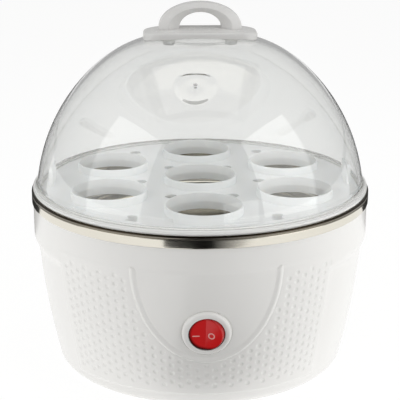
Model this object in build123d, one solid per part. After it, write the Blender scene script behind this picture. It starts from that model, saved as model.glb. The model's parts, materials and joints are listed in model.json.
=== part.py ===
from build123d import *
import math
import os

# Electric egg cooker: clear domed lid, egg rack, steel heating dish and a white base with a rocker switch.
# Millimetres and degrees. +Z is up, the switch faces -Y, and the origin is on the table under the middle.

# Clearances and cuts
overrun = 1.0              # how far a cutting shape runs past the face it cuts
rest_gap = 0.3             # between pieces of different moving bodies at rest
seat_gap = 0.1             # between curved pieces that are fastened together
slip_gap = 0.2             # round a loose fixed piece
screw_gap = 0.05           # round a screw shank in its hole
pin_gap = 0.05             # round a pivot pin in its hole

# Steel heating dish
rim_radius = 85.0
rim_top_height = 90.0
bead_radius = 0.8
band_round = 0.5
dish_sheet = 0.8
band_height = 5.0
flange_width = 10.5
pan_depth = 21.2
pan_corner = 5.0
pan_lip_round = 1.6
seal_thickness = 0.8
seal_width = 1.4

# Base shell
foot_proud = 1.0
shell_wall = 2.4
shell_floor = 2.2
collar_inset = 0.6
collar_height = 16.2
taper_height = 6.8
taper_step = 2.3
wall_lean = 8.5
wall_bulge = 1.1
corner_width = 5.4
corner_height = 5.0
corner_bulge = 1.55
neck_wall = 2.0
skirt_gap = 0.3

# Raised front panel and its U-shaped rib
panel_raise = 0.5
panel_bulge = 0.7
panel_left_angle = 54.5
panel_right_angle = 45.0
panel_rise = 4.5
panel_foot_height = 8.0
rib_half_width = 34.6
rib_drop = 46.2
rib_width = 1.4
rib_raise = 0.6

# Lugs, screw bosses and the pad for the cord gland inside the shell
lug_width = 13.0
lug_thickness = 5.0
lug_reach = 7.0
lug_drop = 8.2
stud_inset = 8.5
stud_radius = 2.0
stud_tail = 8.0
stud_angles = (90, 210, 330)
nut_thickness = 3.2
nut_across = 7.0
washer_thickness = 1.0
washer_radius = 4.5
boss_inset = 6.0
boss_radius = 4.0
boss_length = 13.0
boss_angles = (30, 150, 270)
boss_rib = 3.0
gland_height = 20.0
gland_bore = 3.6
gland_barrel = 6.0
gland_flange = 8.5
gland_flange_thickness = 2.5
gland_nut_radius = 8.5
gland_nut_thickness = 3.0
gland_tail = 1.5
gland_pad_radius = 10.5
gland_pad_proud = 2.0
gland_pad_depth = 7.0

# Bottom cover and feet
cover_inset = 6.2
cover_gap = 0.3
well_radius = 4.8
well_height = 2.2
head_radius = 3.0
head_height = 1.6
head_pocket = 3.4
screw_radius = 1.5
cover_screw_length = 11.0
vent_count = 8
vent_length = 14.0
vent_width = 3.0
vent_inset = 28.0
foot_radius = 7.0
foot_depth = 1.0
foot_round = 0.4
foot_inset = 15.0
foot_angles = (60, 120, 240, 300)

# Lid
lid_wall = 1.8
lid_arc_swell = 5.0
crown_height = 166.5
crown_radius = 190.0
crown_bite = 6.8           # how far the wall's circle would rise past the crown
shoulder_round = 12.0
lip_inset = 0.8
lip_ledge = 1.97
lip_thickness = 1.6
lip_flare = 3.2
spigot_wall = 1.6
spigot_drop = 0.8
spigot_gap = 0.6
vent_boss_angle = 48.5
vent_boss_turn = -4.5
vent_boss_radius = 9.0
vent_boss_proud = 1.3
vent_boss_round = 1.0
vent_hole_radius = 0.9

# Lid handle
plate_width = 56.0
plate_depth = 24.0
plate_thickness = 3.4
plate_round = 1.2
plate_corner = 8.0
loop_half_width = 20.3
loop_height = 12.2
loop_gap_half_width = 10.2
loop_gap_height = 7.5
loop_depth = 12.0
loop_round = 1.6
handle_screw_spread = 15.2
handle_screw_reach = 9.0
handle_washer_radius = 4.5
handle_washer_thickness = 1.0

# Egg rack
rack_plate = 1.6
rack_gap = 0.6
rack_skirt_drop = 3.0
rack_skirt_wall = 1.4
rack_skirt_gap = 0.6
seat_margin = 4.0
seat_radius = 17.0
seat_wall = 1.5
seat_rise = 4.0
seat_dip = 2.0
outer_seats = 6
steam_hole_radius = 3.0
steam_outer_inset = 7.0
steam_inner_inset = 22.0
ear_width = 16.0
ear_height = 10.0
ear_thickness = 1.8
ear_inset = 5.0
ear_round = 2.4

# Heater under the dish
spreader_inset = 14.5
spreader_thickness = 2.0
element_radius = 3.3
element_inset = 18.0
element_gap_angle = 20.0
element_bend = 9.0
element_tail = 7.0
insulator_radius = 2.6
insulator_length = 3.0
element_pin_radius = 1.2
element_pin_length = 6.0
clamp_angles = (60, 180, 300)
clamp_overhang = 4.0
clamp_length = 20.0
clamp_width = 10.0
clamp_thickness = 1.5
clamp_stud_inset = 5.5
clamp_stud_radius = 1.5
clamp_nut_across = 5.5
clamp_nut_thickness = 2.4
clamp_stud_tail = 3.6

# Thermostat in the middle of the spreader
cap_radius = 7.5
cap_height = 4.0
cap_flange_length = 30.0
cap_flange_width = 9.0
cap_flange_thickness = 0.8
thermostat_radius = 8.2
thermostat_height = 8.0
thermostat_screw_spread = 24.0
thermostat_screw_reach = 1.6
blade_width = 4.8
blade_thickness = 0.8
thermostat_blade_spread = 9.0
thermostat_blade_length = 8.0
thermostat_blade_root = 2.0
boot_width = 7.0
boot_thickness = 4.0
boot_length = 12.0
boot_start = 1.0

# Thermal fuse beside the thermostat
fuse_offset = 22.0
fuse_radius = 1.6
fuse_length = 10.0
sleeve_radius = 2.5
sleeve_wall = 0.7
sleeve_length = 24.0
clip_sheet = 0.8
clip_width = 6.0
clip_tab = 7.0

# Terminal block
block_width = 28.0
block_depth = 14.0
block_height = 12.0
block_inset = 24.0
pole_spread = 9.0
pole_bore = 2.1
pole_height = 6.0
pole_screw_radius = 1.7
pole_screw_length = 3.4
peg_radius = 1.2

# Rocker switch
switch_drop = 19.2
switch_pocket = 0.85
bezel_radius = 11.4
bezel_thickness = 2.0
bezel_round = 1.6
barrel_radius = 9.8
barrel_wall = 0.7
barrel_gap = 0.3
barrel_depth = 16.0
barrel_back = 1.6
barb_proud = 1.0
barb_length = 3.0
barb_width = 5.0
barb_start = 3.2
rocker_radius = 8.8
rocker_gap = 0.3
rocker_pivot_depth = 3.2
rocker_middle = 2.9
rocker_rise = 1.5
rocker_skirt = 2.5
rocker_edge_round = 0.5
rocker_half_throw = 9.0
trunnion_radius = 1.0
trunnion_reach = 9.6
stem_radius = 2.2
stem_length = 6.4
stem_bore = 1.5
stem_bore_top = 1.5
plunger_tip = 7.5
plunger_length = 3.0
bridge_half_throw = 7.2
bridge_clear = 0.3
bridge_length = 13.0
bridge_width = 4.4
bridge_thickness = 0.6
contact_radius = 1.5
contact_height = 0.8
contact_offset = 5.2
switch_blade_length = 8.0

# Internal wires
wire_radius = 1.1
wire_bend = 4.0
wire_lead = 8.0            # straight run out of a boot
pole_lead = 11.0           # straight run out of the terminal block
switch_turn_reach = 17.4
switch_turn_drop = 14.0
thermostat_wire_drop = 12.0
pin_wire_drop = 15.5
fuse_wire_drop = 19.0
fuse_wire_reach = 11.0
earth_wire_rise = 14.8

# Heights and radii that follow from the sizes above
flange_top = rim_top_height - bead_radius
flange_under = flange_top - dish_sheet
band_bottom = flange_top - band_height
pan_floor = flange_top - pan_depth
pan_under = pan_floor - dish_sheet
shell_bottom = foot_proud
neck_top = flange_under - seal_thickness
neck_radius = rim_radius - dish_sheet - skirt_gap
collar_top = band_bottom
collar_bottom = collar_top - collar_height
taper_bottom = collar_bottom - taper_height
cover_top = shell_bottom + shell_floor
collar_radius = rim_radius - collar_inset
wall_top_radius = collar_radius - taper_step
wall_foot_radius = wall_top_radius - wall_lean
cover_radius = wall_foot_radius - corner_width - cover_inset
boss_circle = cover_radius - boss_inset
foot_circle = cover_radius - foot_inset
vent_circle = cover_radius - vent_inset
block_centre = cover_radius - block_inset
panel_top_height = collar_bottom + panel_rise
switch_height = taper_bottom - switch_drop
pan_radius = rim_radius - flange_width
stud_circle = pan_radius - stud_inset
spreader_radius = pan_radius - spreader_inset
element_circle = spreader_radius - element_inset
clamp_outer = element_circle + clamp_overhang
clamp_inner = clamp_outer - clamp_length
clamp_stud_circle = clamp_inner + clamp_stud_inset
spreader_under = pan_under - spreader_thickness
element_height = spreader_under - element_radius - seat_gap
lug_top = pan_under - lug_drop
lug_under = lug_top - lug_thickness
lip_bottom = rim_top_height + rest_gap
rack_bottom = flange_top + rest_gap
rack_top = rack_bottom + rack_plate
seat_circle = pan_radius - seat_radius - seat_wall - seat_margin
steam_outer_circle = pan_radius - steam_outer_inset
steam_inner_circle = seat_circle - steam_inner_inset
spigot_radius = rim_radius - 2 * bead_radius - spigot_gap
lip_radius = rim_radius - lip_inset
lid_foot_radius = lip_radius - lip_ledge
lid_arc_radius = rim_radius + lid_arc_swell
lid_arc_height = crown_height - lid_arc_radius + crown_bite
lid_arc_offset = math.sqrt(lid_arc_radius ** 2 - (lip_bottom - lid_arc_height) ** 2) - lid_foot_radius
far = 2 * rim_radius


def at(radius, height):
    """Point of a turned outline."""
    return (radius, 0, height)


def bowed(start, end, rise):
    """Arc between two outline points whose middle stands off the chord by the rise, to its right."""
    run = (end[0] - start[0], end[1] - start[1])
    length = math.hypot(*run)
    middle_radius = (start[0] + end[0]) / 2 + rise * run[1] / length
    middle_height = (start[1] + end[1]) / 2 - rise * run[0] / length
    return ThreePointArc(at(*start), at(middle_radius, middle_height), at(*end))


def straight(*points):
    """Straight outline through points of radius and height."""
    return Polyline(*[at(*point) for point in points])


def turned(*edges):
    """Solid turned about the Z axis from a closed outline."""
    return revolve(make_face(Wire(Curve() + list(edges))), Axis.Z)


def ring(inner, outer, bottom, top):
    """Flat ring about the Z axis."""
    return turned(straight((inner, bottom), (outer, bottom), (outer, top), (inner, top), (inner, bottom)))


def upright(radius, bottom, top, place=(0, 0)):
    """Cylinder standing between two heights."""
    post = Cylinder(radius, top - bottom, align=(Align.CENTER, Align.CENTER, Align.MIN))
    return Pos(place[0], place[1], bottom) * post


def block(width, depth, bottom, top, place=(0, 0)):
    """Box centred in plan between two heights."""
    box = Box(width, depth, top - bottom, align=(Align.CENTER, Align.CENTER, Align.MIN))
    return Pos(place[0], place[1], bottom) * box


def hexagon(across, bottom, top, place):
    """Hexagonal prism of a nut."""
    outline = RegularPolygon(across / 2, side_count=6, major_radius=False)
    return Pos(place[0], place[1], bottom) * extrude(outline, top - bottom)


def polar(radius, angle):
    """Plan position from a radius and an angle."""
    return (radius * math.cos(math.radians(angle)), radius * math.sin(math.radians(angle)))


def group(solids):
    """One node of several separate solids."""
    return Compound([part for shape in solids for part in shape.solids()])


def save(shape, node):
    """Write one node."""
    export_step(shape, "parts/" + node + ".step")


# Base shell

def bow_arc(low, high, rise):
    """Centre and radius of an arc of the outer wall whose middle stands off its chord by the rise."""
    chord = math.hypot(high[0] - low[0], high[1] - low[1])
    radius = (chord ** 2 / 4 + rise ** 2) / (2 * rise)
    reach = radius - rise
    centre_radius = (low[0] + high[0]) / 2 - reach * (high[1] - low[1]) / chord
    centre_height = (low[1] + high[1]) / 2 + reach * (high[0] - low[0]) / chord
    return centre_radius, centre_height, radius


def arc_radius(arc, height):
    """Outer radius at a height on such an arc."""
    centre_radius, centre_height, radius = arc
    return centre_radius + math.sqrt(radius ** 2 - (height - centre_height) ** 2)


def arc_tilt(arc, height):
    """How far the arc's outward normal leans down there, in radians."""
    centre_height, radius = arc[1:]
    return math.asin((centre_height - height) / radius)


wall_low = (wall_foot_radius, shell_bottom + corner_height)
wall_high = (wall_top_radius, taper_bottom)
wall_arc = bow_arc(wall_low, wall_high, wall_bulge)
panel_low = (wall_foot_radius + panel_raise, shell_bottom + corner_height)
panel_high = (collar_radius + panel_raise, panel_top_height)
panel_arc = bow_arc(panel_low, panel_high, panel_bulge)


def shell_solid(inset, floor):
    """Solid inside the base's outer face, moved in by the inset, from the given floor height."""
    corner = (wall_foot_radius - corner_width - inset, floor)
    low = (wall_foot_radius - inset, floor + corner_height)
    high = (wall_top_radius - inset, taper_bottom)
    step = (collar_radius - inset, collar_bottom)
    middle = ((high[0] + step[0]) / 2, (high[1] + step[1]) / 2)
    chord = math.hypot(middle[0] - high[0], middle[1] - high[1])
    curve = chord ** 2 / (2 * (middle[0] - high[0]))
    swell = curve - math.sqrt(curve ** 2 - chord ** 2 / 4)
    return turned(
        straight((0, floor), corner),
        bowed(corner, low, corner_bulge),
        bowed(low, high, wall_bulge),
        bowed(high, middle, -swell),
        bowed(middle, step, swell),
        straight(step, (step[0], collar_top), (0, collar_top), (0, floor)),
    )


def panel_solid(lift):
    """Solid inside the front panel's face, moved out by the lift."""
    low = (panel_low[0] + lift, panel_low[1])
    high = (panel_high[0] + lift, panel_high[1])
    return turned(
        straight((0, low[1]), low),
        bowed(low, high, panel_bulge),
        straight(high, (0, high[1]), (0, low[1])),
    )


def front_sector(bottom, top):
    """Wedge over the front panel's span between two heights."""
    left = polar(far, -90 - panel_left_angle)
    right = polar(far, -90 + panel_right_angle)
    outline = make_face(Polyline((0, 0), left, right, (0, 0)))
    return Pos(0, 0, bottom) * extrude(outline, top - bottom)


switch_face = arc_radius(panel_arc, switch_height) - switch_pocket
switch_lean = arc_tilt(panel_arc, switch_height)
switch_out = Vector(0, -math.cos(switch_lean), -math.sin(switch_lean))
switch_plane = Plane(origin=(0, -switch_face, switch_height), x_dir=(1, 0, 0), z_dir=switch_out)


def make_base_shell():
    outer = shell_solid(0, shell_bottom)
    hollow = shell_solid(shell_wall, cover_top)
    panel_skin = panel_solid(0) & front_sector(panel_foot_height, panel_top_height)
    rib_outer = Ellipse(rib_half_width + rib_width / 2, rib_drop + rib_width / 2)
    rib_inner = Ellipse(rib_half_width - rib_width / 2, rib_drop - rib_width / 2)
    rib_face = Plane.XZ * (rib_outer - rib_inner)
    rib_bar = Pos(0, 0, panel_top_height) * extrude(rib_face, far)
    rib_reach = panel_solid(rib_raise)
    rib_zone = front_sector(shell_bottom, panel_top_height)
    shell = outer + panel_skin + (rib_reach & rib_bar & rib_zone)
    inner_radius = collar_radius - shell_wall
    shell += ring(inner_radius - overrun, neck_radius, collar_top - overrun, neck_top)
    shell -= hollow
    shell -= upright(neck_radius - neck_wall, collar_top - 2 * overrun, neck_top + overrun)
    shell -= upright(cover_radius + cover_gap, shell_bottom - overrun, cover_top + overrun)
    trim = shell_solid(shell_wall / 2, shell_bottom)
    for angle in stud_angles:
        start = stud_circle - lug_reach
        length = collar_radius - start
        lug = block(length, lug_width, lug_under, lug_top, (start + length / 2, 0))
        lug -= upright(stud_radius + slip_gap, lug_under - overrun, lug_top + overrun, (stud_circle, 0))
        shell += (Rot(0, 0, angle) * lug) & trim
    boss_bottom = cover_top + well_height + slip_gap
    boss_top = boss_bottom + boss_length
    for angle in boss_angles:
        length = wall_foot_radius - boss_circle
        arm = block(length, boss_rib, boss_bottom, boss_top, (boss_circle + length / 2, 0))
        boss = upright(boss_radius, boss_bottom, boss_top, (boss_circle, 0)) + arm
        hole_top = cover_top + cover_screw_length + slip_gap
        boss -= upright(screw_radius + screw_gap, boss_bottom - overrun, hole_top, (boss_circle, 0))
        shell += (Rot(0, 0, angle) * boss) & trim
    pad = Pos(0, gland_face, gland_height) * Rot(90, 0, 0) * upright(gland_pad_radius, 0, gland_pad_depth)
    shell += pad
    bore = Pos(0, gland_face, gland_height) * Rot(90, 0, 0)
    shell -= bore * upright(gland_barrel + slip_gap, -overrun, gland_pad_depth + overrun)
    shell -= switch_plane * upright(bezel_radius + rest_gap, 0, bezel_thickness + overrun)
    shell -= switch_plane * upright(barrel_radius + barrel_gap, -2 * shell_wall, overrun)
    return shell


gland_face = arc_radius(wall_arc, gland_height) + gland_pad_proud


def make_cord_gland():
    tail = gland_pad_depth + slip_gap + gland_nut_thickness + gland_tail
    body = upright(gland_barrel, 0, tail) + upright(gland_flange, -gland_flange_thickness, 0)
    rim = body.edges().filter_by(GeomType.CIRCLE).sort_by(Axis.Z)[0]
    body = fillet(rim, gland_flange_thickness / 2)
    body -= upright(gland_bore, -gland_flange_thickness - overrun, tail + overrun)
    return Pos(0, gland_face, gland_height) * Rot(90, 0, 0) * body


def make_gland_nut():
    start = gland_pad_depth + slip_gap
    nut = hexagon(2 * gland_nut_radius, start, start + gland_nut_thickness, (0, 0))
    nut -= upright(gland_barrel + screw_gap, start - overrun, start + gland_nut_thickness + overrun)
    return Pos(0, gland_face, gland_height) * Rot(90, 0, 0) * nut


def make_bottom_cover():
    cover = upright(cover_radius, shell_bottom, cover_top)
    for angle in boss_angles:
        place = polar(boss_circle, angle)
        cover += upright(well_radius, shell_bottom, cover_top + well_height, place)
        cover -= upright(head_pocket, shell_bottom - overrun, cover_top, place)
        cover -= upright(screw_radius + slip_gap, shell_bottom, cover_top + well_height + overrun, place)
    for angle in foot_angles:
        place = polar(foot_circle, angle)
        cover -= upright(foot_radius + screw_gap, shell_bottom - overrun, shell_bottom + foot_depth, place)
    for step in range(vent_count):
        slot = extrude(SlotOverall(vent_length, vent_width), shell_floor + 2 * overrun)
        turn = 360 * step / vent_count
        cover -= Rot(0, 0, turn) * Pos(vent_circle, 0, shell_bottom - overrun) * slot
    for side in (-1, 1):
        place = (side * pole_spread / 2, block_centre)
        cover += upright(peg_radius, cover_top - overrun, cover_top + block_height, place)
    return cover


def make_cover_screws():
    screws = []
    for angle in boss_angles:
        place = polar(boss_circle, angle)
        head = upright(head_radius, cover_top - head_height, cover_top, place)
        screws.append(head + upright(screw_radius, cover_top, cover_top + cover_screw_length, place))
    return group(screws)


def make_feet():
    feet = []
    for angle in foot_angles:
        foot = upright(foot_radius, 0, shell_bottom + foot_depth, polar(foot_circle, angle))
        rim = foot.edges().filter_by(GeomType.CIRCLE).sort_by(Axis.Z)[0]
        feet.append(fillet(rim, foot_round))
    return group(feet)


# Heating dish and what hangs under it

def make_heating_dish():
    outline = Polyline(
        at(0, pan_floor),
        at(pan_radius, pan_floor),
        at(pan_radius, flange_top),
        at(rim_radius, flange_top),
        at(rim_radius, band_bottom),
        at(rim_radius - dish_sheet, band_bottom),
        at(rim_radius - dish_sheet, flange_under),
        at(pan_radius + dish_sheet, flange_under),
        at(pan_radius + dish_sheet, pan_under),
        at(0, pan_under),
        at(0, pan_floor),
    )
    rounds = (
        ((pan_radius, pan_floor), pan_corner),
        ((pan_radius + dish_sheet, pan_under), pan_corner + dish_sheet),
        ((pan_radius, flange_top), pan_lip_round),
        ((pan_radius + dish_sheet, flange_under), pan_lip_round - dish_sheet),
        ((rim_radius, flange_top), band_round),
    )
    face = make_face(outline)
    for place, radius in rounds:
        corner = face.vertices().sort_by_distance(at(*place))[0]
        face = fillet(corner, radius)
    dish = revolve(face, Axis.Z)
    bead = Plane.XZ * Pos(rim_radius - bead_radius, flange_top) * Circle(bead_radius)
    return dish + revolve(bead, Axis.Z)


def make_dish_seal():
    return ring(neck_radius - seal_width, neck_radius, neck_top, flange_under)


def make_dish_studs():
    bottom = lug_under - stud_tail
    places = [polar(stud_circle, angle) for angle in stud_angles]
    return group([upright(stud_radius, bottom, pan_under, place) for place in places])


def make_dish_washers():
    hole = stud_radius + screw_gap
    top = lug_under
    bottom = top - washer_thickness
    washers = []
    for angle in stud_angles[1:]:
        place = polar(stud_circle, angle)
        disc = upright(washer_radius, bottom, top, place)
        washers.append(disc - upright(hole, bottom - overrun, top + overrun, place))
    return group(washers)


def make_dish_nuts():
    top = lug_under - washer_thickness
    bottom = top - nut_thickness
    nuts = []
    for angle in stud_angles:
        place = polar(stud_circle, angle)
        nut = hexagon(nut_across, bottom, top, place)
        nuts.append(nut - upright(stud_radius + screw_gap, bottom - overrun, top + overrun, place))
    return group(nuts)


earth_tongue = 2 * washer_radius


def make_earth_tag():
    top = lug_under
    bottom = top - washer_thickness
    place = polar(stud_circle, stud_angles[0])
    tag = upright(washer_radius, bottom, top, place)
    tag += block(washer_radius, earth_tongue, bottom, top, (place[0], place[1] - earth_tongue / 2))
    return tag - upright(stud_radius + screw_gap, bottom - overrun, top + overrun, place)


def make_heat_spreader():
    disc = upright(spreader_radius, spreader_under, pan_under)
    for side in (-1, 1):
        hole = upright(
            screw_radius + screw_gap,
            spreader_under - overrun,
            spreader_under + thermostat_screw_reach + slip_gap,
            (0, side * thermostat_screw_spread / 2),
        )
        disc -= hole
    disc -= upright(screw_radius + screw_gap, spreader_under - overrun,
                    spreader_under + thermostat_screw_reach + slip_gap, clip_screw_place)
    return disc


def element_end(side):
    """Where an end of the element has turned down, and the direction that it arrived in."""
    angle = 90 + side * element_gap_angle
    start = Vector(*polar(element_circle, angle), element_height)
    tangent = Vector(*polar(1, angle - side * 90), 0)
    return start, tangent


def make_heating_element():
    ends = []
    for side in (1, -1):
        start, tangent = element_end(side)
        middle = start + tangent * (element_bend * math.sin(math.pi / 4))
        middle += Vector(0, 0, -element_bend * (1 - math.cos(math.pi / 4)))
        finish = start + tangent * element_bend + Vector(0, 0, -element_bend)
        tail = finish + Vector(0, 0, -element_tail)
        ends.append((start, middle, finish, tail))
    left, right = ends
    far_side = Vector(0, -element_circle, element_height)
    path = Wire([
        Edge.make_line(left[3], left[2]),
        Edge.make_three_point_arc(left[2], left[1], left[0]),
        Edge.make_three_point_arc(left[0], far_side, right[0]),
        Edge.make_three_point_arc(right[0], right[1], right[2]),
        Edge.make_line(right[2], right[3]),
    ])
    section = Plane(origin=left[3], z_dir=(0, 0, 1)) * Circle(element_radius)
    return sweep(section, path=path)


def element_tail_foot(side):
    """Plan position and bottom of an element tail."""
    start, tangent = element_end(side)
    foot = start + tangent * element_bend
    return (foot.X, foot.Y), element_height - element_bend - element_tail


def make_element_insulators():
    beads = []
    for side in (1, -1):
        place, bottom = element_tail_foot(side)
        low = bottom - insulator_length
        bead = upright(insulator_radius, low, bottom, place)
        beads.append(bead - upright(element_pin_radius + screw_gap, low - overrun, bottom + overrun, place))
    return group(beads)


def make_element_pins():
    pins = []
    for side in (1, -1):
        place, bottom = element_tail_foot(side)
        pins.append(upright(element_pin_radius, bottom - element_pin_length, bottom, place))
    return group(pins)


clamp_top = element_height - element_radius - seat_gap
clamp_under = clamp_top - clamp_thickness


def make_element_clamps():
    clamps = []
    for angle in clamp_angles:
        length = clamp_outer - clamp_inner
        clamp = block(length, clamp_width, clamp_under, clamp_top, (clamp_inner + length / 2, 0))
        hole_radius = clamp_stud_radius + slip_gap
        clamp -= upright(hole_radius, clamp_under - overrun, clamp_top + overrun, (clamp_stud_circle, 0))
        clamps.append(Rot(0, 0, angle) * clamp)
    return group(clamps)


def make_clamp_studs():
    bottom = clamp_under - clamp_stud_tail
    places = [polar(clamp_stud_circle, angle) for angle in clamp_angles]
    return group([upright(clamp_stud_radius, bottom, spreader_under, place) for place in places])


def make_clamp_nuts():
    bottom = clamp_under - clamp_nut_thickness
    nuts = []
    for angle in clamp_angles:
        place = polar(clamp_stud_circle, angle)
        nut = hexagon(clamp_nut_across, bottom, clamp_under, place)
        hole = upright(clamp_stud_radius + screw_gap, bottom - overrun, clamp_under + overrun, place)
        nuts.append(nut - hole)
    return group(nuts)


cap_under = spreader_under - cap_height
thermostat_under = cap_under - thermostat_height
slot_thickness = blade_thickness + 2 * screw_gap
slot_width = blade_width + 2 * screw_gap


def make_thermostat_cap():
    cap = upright(cap_radius, cap_under, spreader_under)
    cap += block(cap_flange_width, cap_flange_length, spreader_under - cap_flange_thickness, spreader_under)
    for side in (-1, 1):
        place = (0, side * thermostat_screw_spread / 2)
        cap -= upright(screw_radius + screw_gap, cap_under, spreader_under + overrun, place)
    return cap


def make_thermostat_body():
    return upright(thermostat_radius, thermostat_under, cap_under) - thermostat_blade_slots()


def thermostat_blade_slots():
    """Sockets for the two blades in the thermostat's underside."""
    slots = Part()
    for side in (-1, 1):
        place = (side * thermostat_blade_spread / 2, 0)
        top = thermostat_under + thermostat_blade_root + screw_gap
        slots += block(slot_thickness, slot_width, thermostat_under - overrun, top, place)
    return slots


def make_thermostat_terminals():
    blades = []
    for side in (-1, 1):
        place = (side * thermostat_blade_spread / 2, 0)
        bottom = thermostat_under - thermostat_blade_length
        top = thermostat_under + thermostat_blade_root
        blades.append(block(blade_thickness, blade_width, bottom, top, place))
    return group(blades)


def make_thermostat_screws():
    seat = spreader_under - cap_flange_thickness
    screws = []
    for side in (-1, 1):
        place = (0, side * thermostat_screw_spread / 2)
        head = upright(head_radius, seat - head_height, seat, place)
        screws.append(head + upright(screw_radius, seat, spreader_under + thermostat_screw_reach, place))
    return group(screws)


fuse_height = spreader_under - sleeve_radius - seat_gap
clip_screw_place = (fuse_offset + sleeve_radius + seat_gap + clip_sheet + clip_tab / 2, 0)


def along_y(radius, length):
    """Cylinder lying along Y at the thermal fuse."""
    return Pos(fuse_offset, 0, fuse_height) * Rot(90, 0, 0) * Cylinder(radius, length)


def make_thermal_fuse():
    return along_y(fuse_radius, fuse_length)


def make_fuse_sleeve():
    bore = along_y(sleeve_radius - sleeve_wall, sleeve_length + overrun)
    return along_y(sleeve_radius, sleeve_length) - bore


def make_fuse_clip():
    inner = sleeve_radius + seat_gap
    low = fuse_height - inner - clip_sheet
    outer = inner + clip_sheet
    place = (fuse_offset, 0)
    saddle = block(2 * outer, clip_width, low, spreader_under, place)
    saddle -= block(2 * inner, clip_width + overrun, low + clip_sheet, spreader_under + overrun, place)
    tab_start = fuse_offset + inner
    tab_end = clip_screw_place[0] + clip_tab / 2
    tab = block(tab_end - tab_start, clip_width, spreader_under - clip_sheet, spreader_under,
                ((tab_start + tab_end) / 2, 0))
    hole = upright(screw_radius + screw_gap, low, spreader_under + overrun, clip_screw_place)
    return saddle + tab - hole


def make_fuse_clip_screw():
    seat = spreader_under - clip_sheet
    head = upright(clip_width / 2 - slip_gap, seat - head_height, seat, clip_screw_place)
    return head + upright(screw_radius, seat, spreader_under + thermostat_screw_reach, clip_screw_place)


# Terminal block on the bottom cover

block_top = cover_top + block_height


def make_terminal_block():
    body = block(block_width, block_depth, cover_top, block_top, (0, block_centre))
    for pole in (-1, 0, 1):
        place = (pole * pole_spread, block_centre)
        bore = Pos(*place, cover_top + pole_height) * Rot(90, 0, 0)
        body -= bore * Cylinder(pole_bore, block_depth + overrun)
        body -= upright(pole_screw_radius + screw_gap, cover_top + pole_height, block_top + overrun, place)
    for side in (-1, 1):
        place = (side * pole_spread / 2, block_centre)
        body -= upright(peg_radius + screw_gap, cover_top - overrun, block_top + overrun, place)
    return body


def make_terminal_screws():
    bottom = block_top - pole_screw_length
    places = [(pole * pole_spread, block_centre) for pole in (-1, 0, 1)]
    return group([upright(pole_screw_radius, bottom, block_top, place) for place in places])


# Rocker switch, in its own frame: X to the right, Y up the wall, Z out of the wall

pivot_station = bezel_thickness - rocker_pivot_depth
bridge_top = pivot_station - plunger_tip - bridge_clear
bridge_under = bridge_top - bridge_thickness
barrel_end = -barrel_depth


def make_switch_housing():
    bezel = upright(bezel_radius, 0, bezel_thickness)
    rim = bezel.edges().filter_by(GeomType.CIRCLE).sort_by(Axis.Z)[-1]
    bezel = fillet(rim, bezel_round)
    body = bezel + upright(barrel_radius, barrel_end, 0)
    for side in (-1, 1):
        reach = barrel_radius + barb_proud
        barb = block(reach, barb_width, -barb_start - barb_length, -barb_start, (side * reach / 2, 0))
        body += barb
    body -= upright(barrel_radius - barrel_wall, barrel_end + barrel_back, 0)
    body -= Pos(0, 0, pivot_station) * Sphere(rocker_radius + rocker_gap)
    mouth = math.sqrt((rocker_radius + rocker_gap) ** 2 - rocker_pivot_depth ** 2)
    body -= upright(mouth, pivot_station + rocker_pivot_depth / 2, bezel_thickness + overrun)
    pin_hole = Rot(90, 0, 0) * Cylinder(trunnion_radius + pin_gap, 2 * barrel_radius)
    body -= Pos(0, 0, pivot_station) * pin_hole
    for offset in (0, contact_offset):
        back_top = barrel_end + barrel_back
        body -= block(slot_thickness, slot_width, barrel_end - overrun, back_top + overrun, (offset, 0))
    return switch_plane * body


def rocked(shape, angle):
    """Turn a piece about the rocker's pivot, from its middle position."""
    return Pos(0, 0, pivot_station) * Rot(0, angle, 0) * shape


def make_switch_rocker():
    reach = rocker_radius + overrun
    tip = rocker_middle + rocker_rise * reach / rocker_radius
    outline = Plane.XZ * make_face(Polyline(
        (-reach, -rocker_skirt),
        (reach, -rocker_skirt),
        (reach, tip),
        (0, rocker_middle),
        (-reach, tip),
        (-reach, -rocker_skirt),
    ))
    slab = extrude(outline, reach, both=True)
    cap = Sphere(rocker_radius) & slab
    high_edges = [edge for edge in cap.edges() if edge.center().Z > rocker_middle]
    cap = fillet([edge for edge in high_edges if edge.geom_type != GeomType.LINE], rocker_edge_round)
    cap += Rot(90, 0, 0) * Cylinder(trunnion_radius, 2 * trunnion_reach)
    cap += upright(stem_radius, -stem_length, 0)
    cap -= upright(stem_bore, -stem_length - overrun, -stem_bore_top)
    return switch_plane * rocked(cap, -rocker_half_throw)


def make_switch_plunger():
    radius = stem_bore - screw_gap
    top = -plunger_tip + plunger_length
    plunger = upright(radius, -plunger_tip, top)
    nose = plunger.edges().filter_by(GeomType.CIRCLE).sort_by(Axis.Z)[0]
    plunger = fillet(nose, radius / 2)
    return switch_plane * rocked(plunger, -rocker_half_throw)


def make_switch_spring():
    radius = stem_bore - screw_gap
    bottom = -plunger_tip + plunger_length
    sleeve = upright(radius, bottom, -stem_bore_top) - upright(radius / 2, bottom - overrun, overrun)
    return switch_plane * rocked(sleeve, -rocker_half_throw)


def make_switch_bridge():
    plate = block(bridge_length, bridge_width, 0, bridge_thickness)
    plate += upright(contact_radius, -contact_height, 0, (contact_offset, 0))
    return switch_plane * Pos(0, 0, bridge_under) * Rot(0, bridge_half_throw, 0) * plate


def make_switch_terminals():
    end = barrel_end - switch_blade_length
    centre = block(blade_thickness, blade_width, end, bridge_under - bridge_clear)
    sink = contact_offset * math.sin(math.radians(bridge_half_throw))
    contact_top = bridge_under - contact_height - sink - bridge_clear
    pad = upright(contact_radius, contact_top - contact_height, contact_top, (contact_offset, 0))
    side = pad + block(blade_thickness, blade_width, end, contact_top - contact_height, (contact_offset, 0))
    return group([switch_plane * centre, switch_plane * side])


# Spade connector boots and internal wires

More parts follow.
